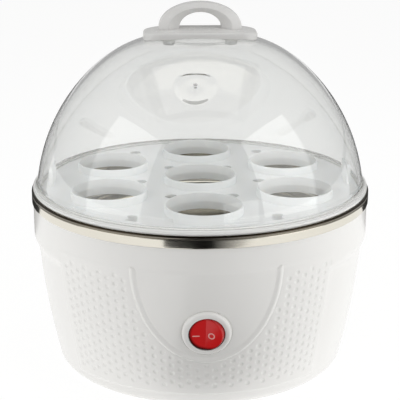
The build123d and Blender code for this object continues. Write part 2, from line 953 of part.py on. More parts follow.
def boot(place, start, end, direction):
    """Connector sleeve over a blade along Z, slotted from its start."""
    low, high = sorted((start, end))
    body = block(boot_thickness, boot_width, low, high, place)
    slot_end = start + direction * (thermostat_blade_length - boot_start + screw_gap)
    slot_low, slot_high = sorted((start - direction * overrun, slot_end))
    return body - block(slot_thickness, slot_width, slot_low, slot_high, place)


thermostat_boot_top = thermostat_under - boot_start
thermostat_boot_end = thermostat_boot_top - boot_length
switch_boot_top = barrel_end - boot_start
switch_boot_end = switch_boot_top - boot_length


def make_connector_boots():
    boots = []
    for side in (-1, 1):
        place = (side * thermostat_blade_spread / 2, 0)
        boots.append(boot(place, thermostat_boot_top, thermostat_boot_end, -1))
    for offset in (0, contact_offset):
        boots.append(switch_plane * boot((offset, 0), switch_boot_top, switch_boot_end, -1))
    return group(boots)


def wire(points):
    """Round wire along straight runs joined by tangent arcs."""
    route = FilletPolyline(*points, radius=wire_bend)
    start = Plane(origin=route @ 0, z_dir=route % 0)
    return sweep(start * Circle(wire_radius), path=route)


def switch_point(offset, station, rise=0):
    """Place in the whole object of a point by a switch blade's line."""
    return switch_plane.from_local_coords(Vector(offset, rise, station))


pole_line = cover_top + pole_height
pole_front = block_centre - block_depth / 2
pole_back = block_centre + block_depth / 2
wire_entry = block_depth / 4
boot_exit = switch_boot_end - seat_gap
thermostat_exit = thermostat_boot_end - seat_gap
pin_foot = element_tail_foot(1)[1] - element_pin_length - seat_gap
pin_side = element_tail_foot(-1)[0]
fuse_exit = sleeve_length / 2 + seat_gap

# Wire routes: points chosen by hand between the ends that the pieces set
turn_station = boot_exit - switch_turn_reach
thermostat_level = thermostat_exit - thermostat_wire_drop
pin_level = pin_foot - pin_wire_drop
fuse_level = fuse_height - fuse_wire_drop
fuse_turn = fuse_exit + fuse_wire_reach
live_route = [
    (-pole_spread, pole_front + wire_entry, pole_line),
    (-pole_spread, pole_front - pole_lead, pole_line),
    (-7, -8, 15),
    switch_point(0, turn_station, -switch_turn_drop),
    switch_point(0, boot_exit - wire_lead),
    switch_point(0, boot_exit),
]
switched_route = [
    switch_point(contact_offset, boot_exit),
    switch_point(contact_offset, boot_exit - wire_lead),
    switch_point(contact_offset, turn_station, -switch_turn_drop),
    (8, -10, thermostat_level),
    (thermostat_blade_spread / 2, 0, thermostat_level),
    (thermostat_blade_spread / 2, 0, thermostat_exit),
]
element_route = [
    (-thermostat_blade_spread / 2, 0, thermostat_exit),
    (-thermostat_blade_spread / 2, 0, thermostat_level),
    (-9, 16, pin_level),
    (-pin_side[0], pin_side[1], pin_level),
    (-pin_side[0], pin_side[1], pin_foot),
]
fuse_route = [
    (pin_side[0], pin_side[1], pin_foot),
    (pin_side[0], pin_side[1], pin_level),
    (fuse_offset, pin_side[1] - wire_lead, pin_level),
    (fuse_offset, fuse_turn, fuse_level),
    (fuse_offset, fuse_turn, fuse_height),
    (fuse_offset, fuse_exit, fuse_height),
]
neutral_route = [
    (fuse_offset, -fuse_exit, fuse_height),
    (fuse_offset, -fuse_turn, fuse_height),
    (fuse_offset, -fuse_turn, fuse_level),
    (17, 5, 20),
    (pole_spread, pole_front - pole_lead, pole_line),
    (pole_spread, pole_front + wire_entry, pole_line),
]
earth_end = stud_circle - earth_tongue - seat_gap
earth_line = lug_under - washer_thickness / 2
earth_route = [
    (0, earth_end, earth_line),
    (0, earth_end - wire_lead, earth_line),
    (0, earth_end - wire_lead, pole_line + earth_wire_rise),
    (0, pole_back + pole_lead, pole_line),
    (0, pole_back - wire_entry, pole_line),
]


# Lid

def lid_point(angle, radius):
    """Point of the lid's wall arc at an angle above the level."""
    turn = math.radians(angle)
    return (radius * math.cos(turn) - lid_arc_offset, lid_arc_height + radius * math.sin(turn))


def lid_reach(radius, height):
    """Radius of a wall arc at a height."""
    return math.sqrt(radius ** 2 - (height - lid_arc_height) ** 2) - lid_arc_offset


def crown_meet(wall, crown):
    """Where a wall arc meets a crown arc that is centred on the axis."""
    crown_centre = crown_height - crown_radius
    drop = lid_arc_height - crown_centre
    span = math.hypot(lid_arc_offset, drop)
    along = (span ** 2 + crown ** 2 - wall ** 2) / (2 * span)
    across = math.sqrt(crown ** 2 - along ** 2)
    radius = -along * lid_arc_offset / span + across * drop / span
    height = crown_centre + along * drop / span + across * lid_arc_offset / span
    return (radius, height)


def lid_solid(inset, bottom):
    """Solid under the lid's outer face moved in by the inset, down to a height."""
    wall = lid_arc_radius - inset
    crown = crown_radius - inset
    meet = crown_meet(wall, crown)
    foot = (lid_reach(wall, bottom), bottom)
    foot_angle = math.degrees(math.asin((bottom - lid_arc_height) / wall))
    meet_angle = math.degrees(math.asin((meet[1] - lid_arc_height) / wall))
    wall_middle = lid_point((foot_angle + meet_angle) / 2, wall)
    top = (0, crown_height - inset)
    turn = math.asin(meet[0] / crown) / 2
    crown_middle = (crown * math.sin(turn), crown_height - crown_radius + crown * math.cos(turn))
    face = make_face(Wire(Curve() + [
        straight((0, bottom), foot),
        ThreePointArc(at(*foot), at(*wall_middle), at(*meet)),
        ThreePointArc(at(*meet), at(*crown_middle), at(*top)),
        straight(top, (0, bottom)),
    ]))
    shoulder = face.vertices().sort_by_distance(at(*meet))[0]
    return revolve(fillet(shoulder, shoulder_round - inset), Axis.Z)


def make_lid_dome():
    lip_top = lip_bottom + lip_thickness
    outer = lid_solid(0, lip_bottom)
    flare_foot = (lid_reach(lid_arc_radius, lip_top) + lip_flare / 2, lip_top)
    flare_height = lip_top + lip_flare
    flare_top = (lid_reach(lid_arc_radius, flare_height), flare_height)
    lip = turned(
        straight((0, lip_bottom), (lip_radius, lip_bottom), (lip_radius, lip_top), flare_foot),
        bowed(flare_foot, flare_top, -lip_flare / 4),
        straight(flare_top, (0, flare_height), (0, lip_bottom)),
    )
    spigot = upright(spigot_radius, lip_bottom - spigot_drop, lip_bottom)
    centre = lid_point(vent_boss_angle, lid_arc_radius)
    turn = math.radians(vent_boss_angle)
    boss_plane = Plane(
        origin=(0, -centre[0], centre[1]),
        x_dir=(1, 0, 0),
        z_dir=(0, -math.cos(turn), math.sin(turn)),
    )
    boss = upright(vent_boss_radius, -lid_wall, vent_boss_proud)
    rim = boss.edges().filter_by(GeomType.CIRCLE).sort_by(Axis.Z)[-1]
    boss = fillet(rim, vent_boss_round)
    round_lid = Rot(0, 0, vent_boss_turn)
    hollow = lid_solid(lid_wall, lip_bottom - spigot_drop - overrun)
    dome = outer + lip + spigot + round_lid * (boss_plane * boss)
    mouth = spigot_radius - spigot_wall
    dome -= hollow
    dome -= upright(mouth, lip_bottom - spigot_drop - overrun, lip_bottom)
    dome -= round_lid * (boss_plane * upright(vent_hole_radius, -2 * lid_wall, vent_boss_proud + overrun))
    for side in (-1, 1):
        place = (side * handle_screw_spread, 0)
        dome -= upright(screw_radius + slip_gap, handle_seat - overrun, crown_height + overrun, place)
    return dome


def crown_shell(start, thickness):
    """Layer that follows the crown from a distance above it."""
    centre = Pos(0, 0, crown_height - crown_radius)
    return centre * Sphere(crown_radius + start + thickness) - centre * Sphere(crown_radius + start)


def make_lid_handle():
    plate_top = crown_height + seat_gap + plate_thickness
    plan = RectangleRounded(plate_width, plate_depth, plate_corner)
    column = Pos(0, 0, crown_height - plate_depth) * extrude(plan, 2 * plate_depth)
    plate = column & crown_shell(seat_gap, plate_thickness)
    top_rim = plate.faces().sort_by(Axis.Z)[-1].edges()
    plate = fillet(top_rim, plate_round)
    arch = Ellipse(loop_half_width, loop_height) - Ellipse(loop_gap_half_width, loop_gap_height)
    keep = Pos(0, loop_height / 2) * Rectangle(2 * loop_half_width, loop_height)
    loop = extrude(Plane.XZ * (arch & keep), loop_depth / 2, both=True)
    curved = [edge for edge in loop.edges() if edge.geom_type == GeomType.ELLIPSE]
    loop = fillet(curved, loop_round)
    feet = Part()
    gap = loop_half_width - loop_gap_half_width
    for side in (-1, 1):
        middle = side * (loop_half_width + loop_gap_half_width) / 2
        feet += block(gap, loop_depth, -plate_thickness / 2, 0, (middle, 0))
    handle = plate + Pos(0, 0, plate_top) * (loop + feet)
    for side in (-1, 1):
        place = (side * handle_screw_spread, 0)
        hole_top = crown_height - lid_wall + handle_screw_reach + slip_gap
        handle -= upright(screw_radius + screw_gap, crown_height - plate_depth, hole_top, place)
    return handle


washer_edge = handle_screw_spread + handle_washer_radius
crown_inner = crown_radius - lid_wall
handle_seat = crown_height - crown_radius + math.sqrt(crown_inner ** 2 - washer_edge ** 2) - seat_gap


def make_lid_handle_washers():
    bottom = handle_seat - handle_washer_thickness
    under_crown = Pos(0, 0, crown_height - crown_radius) * Sphere(crown_inner - seat_gap)
    washers = []
    for side in (-1, 1):
        place = (side * handle_screw_spread, 0)
        washer = upright(handle_washer_radius, bottom, crown_height, place) & under_crown
        washers.append(washer - upright(screw_radius + screw_gap, bottom - overrun, crown_height, place))
    return group(washers)


def make_lid_handle_screws():
    seat = handle_seat - handle_washer_thickness
    screws = []
    for side in (-1, 1):
        place = (side * handle_screw_spread, 0)
        head = upright(head_radius, seat - head_height, seat, place)
        rim = head.edges().filter_by(GeomType.CIRCLE).sort_by(Axis.Z)[0]
        head = fillet(rim, head_height / 2)
        shank_top = crown_height - lid_wall + handle_screw_reach
        screws.append(head + upright(screw_radius, seat, shank_top, place))
    return group(screws)


# Egg rack

def make_egg_rack():
    rack_radius = lid_reach(lid_arc_radius - lid_wall, rack_top) - rack_gap
    rack = upright(rack_radius, rack_bottom, rack_top)
    skirt_radius = pan_radius - rack_skirt_gap
    rack += ring(skirt_radius - rack_skirt_wall, skirt_radius, rack_bottom - rack_skirt_drop, rack_bottom)
    seats = [(0, 0)] + [polar(seat_circle, -90 + 360 * step / outer_seats) for step in range(outer_seats)]
    for place in seats:
        rack += upright(seat_radius + seat_wall, rack_bottom - seat_dip, rack_top + seat_rise, place)
    mouth_radius = seat_radius + seat_wall / 2
    cone = Cone(seat_radius, mouth_radius, seat_rise, align=(Align.CENTER, Align.CENTER, Align.MIN))
    seat_bottom = rack_bottom - seat_dip
    seat_top = rack_top + seat_rise
    for place in seats:
        rack -= upright(seat_radius, seat_bottom - overrun, seat_top + overrun, place)
        rack -= Pos(place[0], place[1], rack_top) * cone
    # Steam holes between the seats: an inner circle, and an outer one that skips the two lifting ears
    turns = [-90 + 360 * (step + 1 / 2) / outer_seats for step in range(outer_seats)]
    places = [polar(steam_inner_circle, turn) for turn in turns]
    places += [polar(steam_outer_circle, turn) for turn in turns if turn % 180 != 0]
    for place in places:
        rack -= upright(steam_hole_radius, rack_bottom - overrun, rack_top + overrun, place)
    for side in (-1, 1):
        outline = RectangleRounded(ear_width, 2 * ear_height, ear_round)
        ear = extrude(Plane.YZ * outline, ear_thickness / 2, both=True)
        ear = Pos(side * (rack_radius - ear_inset), 0, rack_top) * ear
        rack += ear & upright(rack_radius, rack_bottom, rack_top + ear_height)
    return rack


nodes = {
    "base_shell": make_base_shell,
    "bottom_cover": make_bottom_cover,
    "bottom_cover_screws": make_cover_screws,
    "feet": make_feet,
    "cord_gland": make_cord_gland,
    "gland_nut": make_gland_nut,
    "heating_dish": make_heating_dish,
    "dish_seal": make_dish_seal,
    "dish_studs": make_dish_studs,
    "dish_washers": make_dish_washers,
    "dish_nuts": make_dish_nuts,
    "earth_tag": make_earth_tag,
    "heat_spreader": make_heat_spreader,
    "heating_element": make_heating_element,
    "element_insulators": make_element_insulators,
    "element_pins": make_element_pins,
    "element_clamps": make_element_clamps,
    "clamp_studs": make_clamp_studs,
    "clamp_nuts": make_clamp_nuts,
    "thermostat_cap": make_thermostat_cap,
    "thermostat_body": make_thermostat_body,
    "thermostat_terminals": make_thermostat_terminals,
    "thermostat_screws": make_thermostat_screws,
    "thermal_fuse": make_thermal_fuse,
    "fuse_sleeve": make_fuse_sleeve,
    "fuse_clip": make_fuse_clip,
    "fuse_clip_screw": make_fuse_clip_screw,
    "terminal_block": make_terminal_block,
    "terminal_screws": make_terminal_screws,
    "switch_housing": make_switch_housing,
    "switch_rocker": make_switch_rocker,
    "switch_plunger": make_switch_plunger,
    "switch_spring": make_switch_spring,
    "switch_bridge": make_switch_bridge,
    "switch_terminals": make_switch_terminals,
    "connector_boots": make_connector_boots,
    "lid_dome": make_lid_dome,
    "lid_handle": make_lid_handle,
    "lid_handle_washers": make_lid_handle_washers,
    "lid_handle_screws": make_lid_handle_screws,
    "egg_rack": make_egg_rack,
}
wires = {
    "wire_live": live_route,
    "wire_switched": switched_route,
    "wire_element": element_route,
    "wire_fuse": fuse_route,
    "wire_neutral": neutral_route,
    "wire_earth": earth_route,
}

os.makedirs("parts", exist_ok=True)
for node, make in nodes.items():
    save(make(), node)
for node, route in wires.items():
    save(wire(route), node)
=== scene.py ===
"""Looks of an electric egg cooker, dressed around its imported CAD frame.

Sizes are in millimetres in the frame that the CAD uses: +Z is up and the switch faces -Y. Angles round the
object count from the front, positive towards +X.
"""
import json
import logging
import math
from dataclasses import dataclass
from enum import Enum
from typing import Callable, Optional, Sequence

import bmesh
import bpy
import numpy as np
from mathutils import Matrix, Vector


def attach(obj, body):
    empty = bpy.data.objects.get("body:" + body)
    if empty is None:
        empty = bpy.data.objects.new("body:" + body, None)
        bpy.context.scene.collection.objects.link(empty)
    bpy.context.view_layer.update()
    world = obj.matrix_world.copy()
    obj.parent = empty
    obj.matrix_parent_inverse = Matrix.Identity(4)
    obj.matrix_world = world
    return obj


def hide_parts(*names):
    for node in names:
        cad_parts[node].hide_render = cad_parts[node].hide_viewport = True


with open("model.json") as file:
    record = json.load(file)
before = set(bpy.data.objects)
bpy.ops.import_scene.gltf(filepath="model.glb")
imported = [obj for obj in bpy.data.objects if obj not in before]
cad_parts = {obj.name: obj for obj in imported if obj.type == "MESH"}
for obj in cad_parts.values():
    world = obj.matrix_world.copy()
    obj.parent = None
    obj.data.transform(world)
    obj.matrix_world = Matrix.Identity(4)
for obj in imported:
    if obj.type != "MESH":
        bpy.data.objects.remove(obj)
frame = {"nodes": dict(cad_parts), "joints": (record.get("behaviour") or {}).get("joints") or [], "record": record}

LOG = logging.getLogger("egg_cooker")
MM = 0.001
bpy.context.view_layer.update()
Array = np.ndarray
Tree = bpy.types.NodeTree
Socket = bpy.types.NodeSocket
PRINCIPLED = "Principled BSDF"
# Depth in millimetres that light reaches in milky plastic, and the share of it for red, green and blue
SCATTER_DEPTH = 1.5
SCATTER_SHARES = (1.0, 0.9, 0.8)
# Squeeze of the places along Z, which draws a noise out into streaks
STREAK_SQUEEZE = (1.0, 1.0, 0.06)
# A wave texture repeats about every third of its unit, so six grains to the unit put threads two grains apart
GRAINS_TO_WAVE = 6
THREAD_WANDER = 0.4
# Octaves of the noises: soft for moulded and cloudy skins, some for polished rings, many for grain
SOFT_DETAIL = 2.0
RING_DETAIL = 3.0
GRAIN_DETAIL = 6.0


# Colours, shader nodes and objects

def linear(code: str) -> tuple[float, float, float, float]:
    """Turn an sRGB hex colour into linear RGBA.

    Args:
        code: Six hex digits after a hash sign.

    Returns:
        Red, green, blue and an alpha of one.
    """
    channels = np.array([int(code[at:at + 2], 16) for at in (1, 3, 5)]) / 255
    values = np.where(channels <= 0.04045, channels / 12.92, ((channels + 0.055) / 1.055) ** 2.4)
    return (*values.tolist(), 1.0)


def add_node(tree: Tree, kind: str, inputs: Optional[dict] = None, **fields: object) -> bpy.types.Node:
    """Add a shader node, set its fields, and set or link its inputs.

    Args:
        tree: Node tree that gets the node.
        kind: Blender's type name of the node, after its common start.
        inputs: Input name or number to a value, or to the output socket that feeds it.
        fields: Properties of the node.

    Returns:
        The new node.
    """
    node = tree.nodes.new("ShaderNode" + kind)
    for name, value in fields.items():
        setattr(node, name, value)
    for name, value in (inputs or {}).items():
        if isinstance(value, Socket):
            tree.links.new(value, node.inputs[name])
        else:
            node.inputs[name].default_value = value
    return node


def shaded(name: str, inputs: dict) -> bpy.types.Material:
    """Make a material with one shader.

    Args:
        name: Its name.
        inputs: The shader's socket names to values that are the same all over.

    Returns:
        The new material.
    """
    made = bpy.data.materials.new(name)
    made.use_nodes = True
    for socket, value in inputs.items():
        made.node_tree.nodes[PRINCIPLED].inputs[socket].default_value = value
    return made


def linked(name: str, data: bpy.types.ID) -> bpy.types.Object:
    """Make an object of the scene.

    Args:
        name: Its name.
        data: The mesh, light or camera that it holds.

    Returns:
        The new object.
    """
    made = bpy.data.objects.new(name, data)
    bpy.context.scene.collection.objects.link(made)
    return made


class Pattern(Enum):
    """How a surface was made, which sets the shape of its fine relief."""

    MOULDED = "orange peel of a polished mould"
    SPUN = "rings round the axis, left by spinning and polishing"
    DRAWN = "streaks along Z, left by drawing or rolling"
    GRAINY = "grain of a fired or blasted skin"
    WOVEN = "crossed threads"
    TWO_TONE = "moulded skin in two colours, one each side of the middle plane"


@dataclass(frozen=True)
class Zone:
    """Part of a piece that looks different, by the distance from an axis and the height along it.

    Each pair of lengths, in millimetres, is where the zone starts and where it is full.
    """

    color: str
    roughness: float
    out: tuple
    up: tuple
    transmission: float = 0.0
    centre: tuple = (0.0, 0.0, 0.0)
    axis: tuple = (0.0, 0.0, 1.0)

    def factor(self, tree: Tree, place: Socket) -> Socket:
        """Add the nodes of the zone: the share by distance, |p x a|, times the share by height, p . a.

        Args:
            tree: The material's node tree.
            place: Object coordinates, in metres.

        Returns:
            Output socket that is one in the zone and zero outside it.
        """
        centre = tuple(part * MM for part in self.centre)
        away = add_node(tree, "VectorMath", {0: place, 1: centre}, operation="SUBTRACT").outputs[0]
        cross = add_node(tree, "VectorMath", {0: away, 1: self.axis}, operation="CROSS_PRODUCT").outputs[0]
        reach = add_node(tree, "VectorMath", {0: cross}, operation="LENGTH").outputs["Value"]
        rise = add_node(tree, "VectorMath", {0: away, 1: self.axis}, operation="DOT_PRODUCT").outputs["Value"]
        shares = [
            add_node(tree, "MapRange", {0: length, 1: start * MM, 2: full * MM}).outputs[0]
            for length, (start, full) in ((reach, self.out), (rise, self.up))
        ]
        return add_node(tree, "Math", {0: shares[0], 1: shares[1]}, operation="MULTIPLY").outputs[0]


@dataclass(frozen=True)
class Finish:
    """One real material: its colours, its optics and its relief, at a real scale, and on some pieces a zone of
    painted light or shade.

    The relief's grain and depth are in millimetres. The second colour is mixed in by a slow noise, whose size
    is the cloud.
    """

    name: str
    color: str
    second: str
    roughness: float
    spread: float = 0.06
    metallic: float = 0.0
    ior: float = 1.5
    specular: float = 0.5
    transmission: float = 0.0
    subsurface: float = 0.0
    anisotropic: float = 0.0
    pattern: Pattern = Pattern.MOULDED
    grain: float = 1.2
    depth: float = 0.012
    cloud: float = 30.0
    zone: Optional[Zone] = None

    def relief(self, tree: Tree, place: Socket) -> Socket:
        """Add the nodes of the pattern.

        Args:
            tree: The material's node tree.
            place: Object coordinates, in metres.

        Returns:
            Output socket of the relief's height, from zero to one.
        """
        scale = 1 / (self.grain * MM)
        if self.pattern is Pattern.SPUN:
            parts = add_node(tree, "SeparateXYZ", {0: place}).outputs
            flat = add_node(tree, "CombineXYZ", {0: parts[0], 1: parts[1]}).outputs[0]
            radius = add_node(tree, "VectorMath", {0: flat}, operation="LENGTH").outputs["Value"]
            reach = add_node(tree, "Math", {0: radius, 1: parts[2]}).outputs[0]
            rings = {"W": reach, "Scale": scale, "Detail": RING_DETAIL}
            return add_node(tree, "TexNoise", rings, noise_dimensions="1D").outputs[0]
        if self.pattern is Pattern.DRAWN:
            place = add_node(tree, "Mapping", {0: place, "Scale": STREAK_SQUEEZE}).outputs[0]
        if self.pattern is Pattern.WOVEN:
            threads = {0: place, "Scale": scale / GRAINS_TO_WAVE, "Distortion": THREAD_WANDER}
            waves = [
                add_node(tree, "TexWave", threads, bands_direction=direction).outputs[1]
                for direction in ("X", "DIAGONAL")
            ]
            return add_node(tree, "Math", {0: waves[0], 1: waves[1]}, operation="MAXIMUM").outputs[0]
        detail = GRAIN_DETAIL if self.pattern is Pattern.GRAINY else SOFT_DETAIL
        return add_node(tree, "TexNoise", {0: place, "Scale": scale, "Detail": detail}).outputs[0]

    def material(self) -> bpy.types.Material:
        """Build the material, or return the one that is there already.

        Returns:
            A node material with the finish's colour, gloss and relief.
        """
        made = bpy.data.materials.get(self.name)
        if made:
            return made
        inputs = {
            "Metallic": self.metallic,
            "IOR": self.ior,
            "Specular IOR Level": self.specular,
            "Transmission Weight": self.transmission,
            "Anisotropic": self.anisotropic,
        }
        if self.subsurface:
            inputs["Subsurface Weight"] = self.subsurface
            inputs["Subsurface Radius"] = SCATTER_SHARES
            inputs["Subsurface Scale"] = SCATTER_DEPTH * MM
        made = shaded(self.name, inputs)
        tree = made.node_tree
        shader = tree.nodes[PRINCIPLED]
        place = add_node(tree, "TexCoord").outputs["Object"]
        height = self.relief(tree, place)
        slow = {0: place, "Scale": 1 / (self.cloud * MM), "Detail": SOFT_DETAIL}
        share = add_node(tree, "TexNoise", slow).outputs[0]
        if self.pattern is Pattern.TWO_TONE:
            side = add_node(tree, "SeparateXYZ", {0: place}).outputs[0]
            share = add_node(tree, "Math", {0: side, 1: 0.0}, operation="GREATER_THAN").outputs[0]
        both = {0: share, 6: linear(self.color), 7: linear(self.second)}
        color = add_node(tree, "Mix", both, data_type="RGBA").outputs[2]
        low, high = max(self.roughness - self.spread, 0.0), self.roughness + self.spread
        rough = add_node(tree, "MapRange", {0: height, 3: low, 4: high}).outputs[0]
        if self.zone:
            share = self.zone.factor(tree, place)
            both = {0: share, 6: color, 7: linear(self.zone.color)}
            color = add_node(tree, "Mix", both, data_type="RGBA").outputs[2]
            rough = add_node(tree, "Mix", {0: share, 2: rough, 3: self.zone.roughness}).outputs[0]
            if self.zone.transmission != self.transmission:
                ends = {0: share, 3: self.transmission, 4: self.zone.transmission}
                through = add_node(tree, "MapRange", ends).outputs[0]
                tree.links.new(through, shader.inputs["Transmission Weight"])
        bump = {"Height": height, "Distance": self.depth * MM, "Strength": 1.0}
        tree.links.new(add_node(tree, "Bump", bump).outputs[0], shader.inputs["Normal"])
        tree.links.new(color, shader.inputs["Base Color"])
        tree.links.new(rough, shader.inputs["Roughness"])
        return made


# The switch's own frame

class SwitchFrame:
    """The rocker switch's axes, from its hinge: X to the right, up along the wall, and out of the wall."""

    pivot_station = -1.2
    rest_turn = math.radians(-9.0)

    def __init__(self) -> None:
        """Read the hinge from the frame."""
        hinge = next(joint for joint in frame["joints"] if joint["name"] == "rocker_tilt")
        self.up = np.array(hinge["axis"], float)
        self.across = np.array((1.0, 0.0, 0.0))
        self.out = np.cross(self.across, self.up)
        self.origin = np.array(hinge["pos_m"]) / MM - self.out * self.pivot_station

    def place(self, x: Array, y: Array, station: Array) -> Array:
        """Points of the whole object at x across, y up the wall and a station out of it."""
        x, y, station = (np.asarray(value, float)[..., None] for value in np.broadcast_arrays(x, y, station))
        return self.origin + x * self.across + y * self.up + station * self.out

    def rocked(self, x: Array, y: Array, rise: Array) -> Array:
        """Points on the rocker, given in its middle position, turned about the pivot to where it rests.

        Args:
            x: Distances across, from the pivot.
            y: Distances up the wall.
            rise: Distances out from the pivot.

        Returns:
            Points of the whole object.
        """
        turned_x = x * math.cos(self.rest_turn) + rise * math.sin(self.rest_turn)
        turned_rise = rise * math.cos(self.rest_turn) - x * math.sin(self.rest_turn)
        return self.place(turned_x, y, turned_rise + self.pivot_station)

    def rocker_axis(self) -> Array:
        """Direction out of the rocker's face where it rests."""
        return self.across * math.sin(self.rest_turn) + self.out * math.cos(self.rest_turn)


SWITCH = SwitchFrame()

# Middle of the rocker's red that the painted edge shade leaves clear, across and up from the switch's axis
ROCKER_SHADE_MIDDLE = (0.7, 0.4)
# Where a finish changes on its piece, with painted light: the lid's lip painted pale for the bright view through
# it, painted shade along the dish's bead and painted shade at the rocker's edge
LIP_BRIGHTNESS_ZONE = Zone("#F6F6F4", 0.3, out=(70.0, 71.0), up=(92.6, 92.0), transmission=0.3)
BEAD_SHADE_ZONE = Zone("#382F22", 0.25, out=(82.6, 83.2), up=(87.8, 89.5))
ROCKER_EDGE_SHADE_ZONE = Zone("#4A0608", 0.2, out=(7.0, 8.3), up=(-20.0, -19.0),
                        centre=tuple(SWITCH.place(*ROCKER_SHADE_MIDDLE, SWITCH.pivot_station)),
                        axis=tuple(SWITCH.rocker_axis()))

# Each finish is listed under the record's material slot that it dresses
FINISHES = {
    # SAN, injection moulded and polished: clear with slow flow waves, and a lip painted pale and satin, a painted
    # brightness that stands in for the bright view through the clear plastic
    "clear_lid": Finish("clear_san_moulded", "#F9F9F8", "#F5F6F5", 0.02, 0.012, ior=1.57, transmission=1.0,
                        grain=14.0, depth=0.010, zone=LIP_BRIGHTNESS_ZONE),
    # ABS, injection moulded: bright white with a soft gloss and faint orange peel
    "white_plastic": Finish("white_abs_moulded", "#F4F3F0", "#F0EFEC", 0.24, 0.04, ior=1.53,
                            grain=0.9, depth=0.005),
    # Natural polypropylene, injection moulded: milky, and a little light goes through
    "rack_plastic": Finish("natural_polypropylene", "#F6F7F7", "#F1F3F3", 0.38, 0.06, ior=1.49,
                           subsurface=0.2, grain=1.0, depth=0.008),
    # 430 stainless, drawn and ring polished: warm bright metal, with a painted shade line along the rolled bead
    #                                         where the gap under the lid's lip is in shadow.
    # Its rings are drawn coarser than polishing leaves them, so that they show
    "stainless": Finish("stainless_polished", "#E9E5DA", "#DDD8CB", 0.10, 0.04, metallic=1.0,
                        anisotropic=0.25, pattern=Pattern.SPUN, grain=0.5, depth=0.0015, zone=BEAD_SHADE_ZONE),
    # Aluminium, rolled: pale grey metal with soft streaks
    "aluminium": Finish("aluminium_rolled", "#CDCFD1", "#C2C4C6", 0.34, 0.08, metallic=1.0,
                        pattern=Pattern.DRAWN, grain=0.6, depth=0.004),
    # Mild steel, zinc plated: cool grey metal with a fine dull grain
    "steel": Finish("zinc_plated_steel", "#B9BBBC", "#A9ABA9", 0.30, 0.08, metallic=1.0,
                    pattern=Pattern.GRAINY, grain=0.5, depth=0.004),
    # Steel tube, annealed: dark patchy metal with little shine
    "element_sheath": Finish("annealed_steel_tube", "#6A6561", "#4C4743", 0.46, 0.10, metallic=1.0,
                             pattern=Pattern.GRAINY, grain=0.7, depth=0.008),
    # Brass strip, stamped: yellow metal with fine streaks
    "brass": Finish("brass_stamped", "#C9A45A", "#B98F47", 0.28, 0.08, metallic=1.0,
                    pattern=Pattern.DRAWN, grain=0.4, depth=0.003),
    # Rubber, moulded: nearly black, dull and finely grained
    "rubber": Finish("black_rubber_moulded", "#1D1D1D", "#262626", 0.66, 0.08, pattern=Pattern.GRAINY,
                     grain=0.6, depth=0.015),
    # Silicone, moulded: a soft white that lets a little light in
    "silicone": Finish("white_silicone", "#E2E2DE", "#D8D8D3", 0.52, 0.06, ior=1.41, subsurface=0.2,
                       grain=0.8, depth=0.008),
    # Steatite, fired without a glaze: chalky cream
    "ceramic": Finish("steatite_fired", "#EAE5D8", "#DFD8C8", 0.62, 0.06, pattern=Pattern.GRAINY,
                      grain=0.5, depth=0.010),
    # Phenolic, moulded: black with a dull gloss
    "black_plastic": Finish("black_phenolic_moulded", "#161616", "#202020", 0.40, 0.08,
                            grain=0.8, depth=0.010),
    # Tinted polycarbonate, moulded: deep glossy red, with painted shade that darkens it towards the rocker's edge,
    # where the gap round the rocker is in shadow
    "red_plastic": Finish("red_polycarbonate_moulded", "#DC2325", "#D11E20", 0.14, 0.03, specular=0.4,
                          grain=2.0, depth=0.004, zone=ROCKER_EDGE_SHADE_ZONE),
    # Nylon, moulded: plain mid grey with a dull gloss
    "grey_plastic": Finish("grey_nylon_moulded", "#A7A9AB", "#9A9C9F", 0.44, 0.06, grain=0.9, depth=0.008),
    # Glass fibre, braided: dull cream with threads that cross
    "sleeve_fabric": Finish("glass_fibre_sleeving", "#E6E1D2", "#D4CDBB", 0.78, 0.06, pattern=Pattern.WOVEN,
                            grain=0.7, depth=0.12),
    # Silicone insulation, extruded: plain brown and plain blue with a dull gloss
    "wire_brown": Finish("brown_silicone_insulation", "#4A2A18", "#3F2212", 0.42, grain=0.8, depth=0.006),
    "wire_blue": Finish("blue_silicone_insulation", "#1E4C92", "#1A4080", 0.42, grain=0.8, depth=0.006),
    # The same, extruded in two colours: green on one side and yellow on the other
    "wire_green": Finish("green_yellow_insulation", "#3F8A2A", "#D8C52C", 0.42, pattern=Pattern.TWO_TONE,
                         grain=0.8, depth=0.006),
    # Glass yarn, braided over the wire: dull off-white with fine crossed threads
    "wire_white": Finish("glass_braid_insulation", "#E4E1D8", "#D6D2C6", 0.70, pattern=Pattern.WOVEN,
                         grain=0.5, depth=0.08),
}
# Polypropylene, injection moulded: a greyer and milkier white than the base, with the same soft gloss
HANDLE_FINISH = Finish("milky_polypropylene_moulded", "#DFDEDC", "#D9D8D6", 0.26, 0.04,
                       grain=0.9, depth=0.005)
# Printing ink: pale, with a little of the rocker's red showing through
MARK_FINISH = Finish("printed_mark_pale", "#F2B9B4", "#EBAEA9", 0.35, grain=0.4, depth=0.003)


# Outlines and meshes worked out as arrays

def swept(centre: Array, first: Array, last: Array, count: int) -> Array:
    """Points on a circle from one point to another, the shorter way round and evenly spaced in angle.

    Args:
        centre: The circle's middle.
        first: First point.
        last: Last point.
        count: Number of points, both ends included.

    Returns:
        Points of shape (count, 2).
    """
    start, end = (math.atan2(*(point - centre)[::-1]) for point in (first, last))
    turn = (end - start + math.pi) % (2 * math.pi) - math.pi
    angle = start + turn * np.linspace(0, 1, count)
    return centre + np.hypot(*(first - centre)) * np.stack((np.cos(angle), np.sin(angle)), axis=-1)


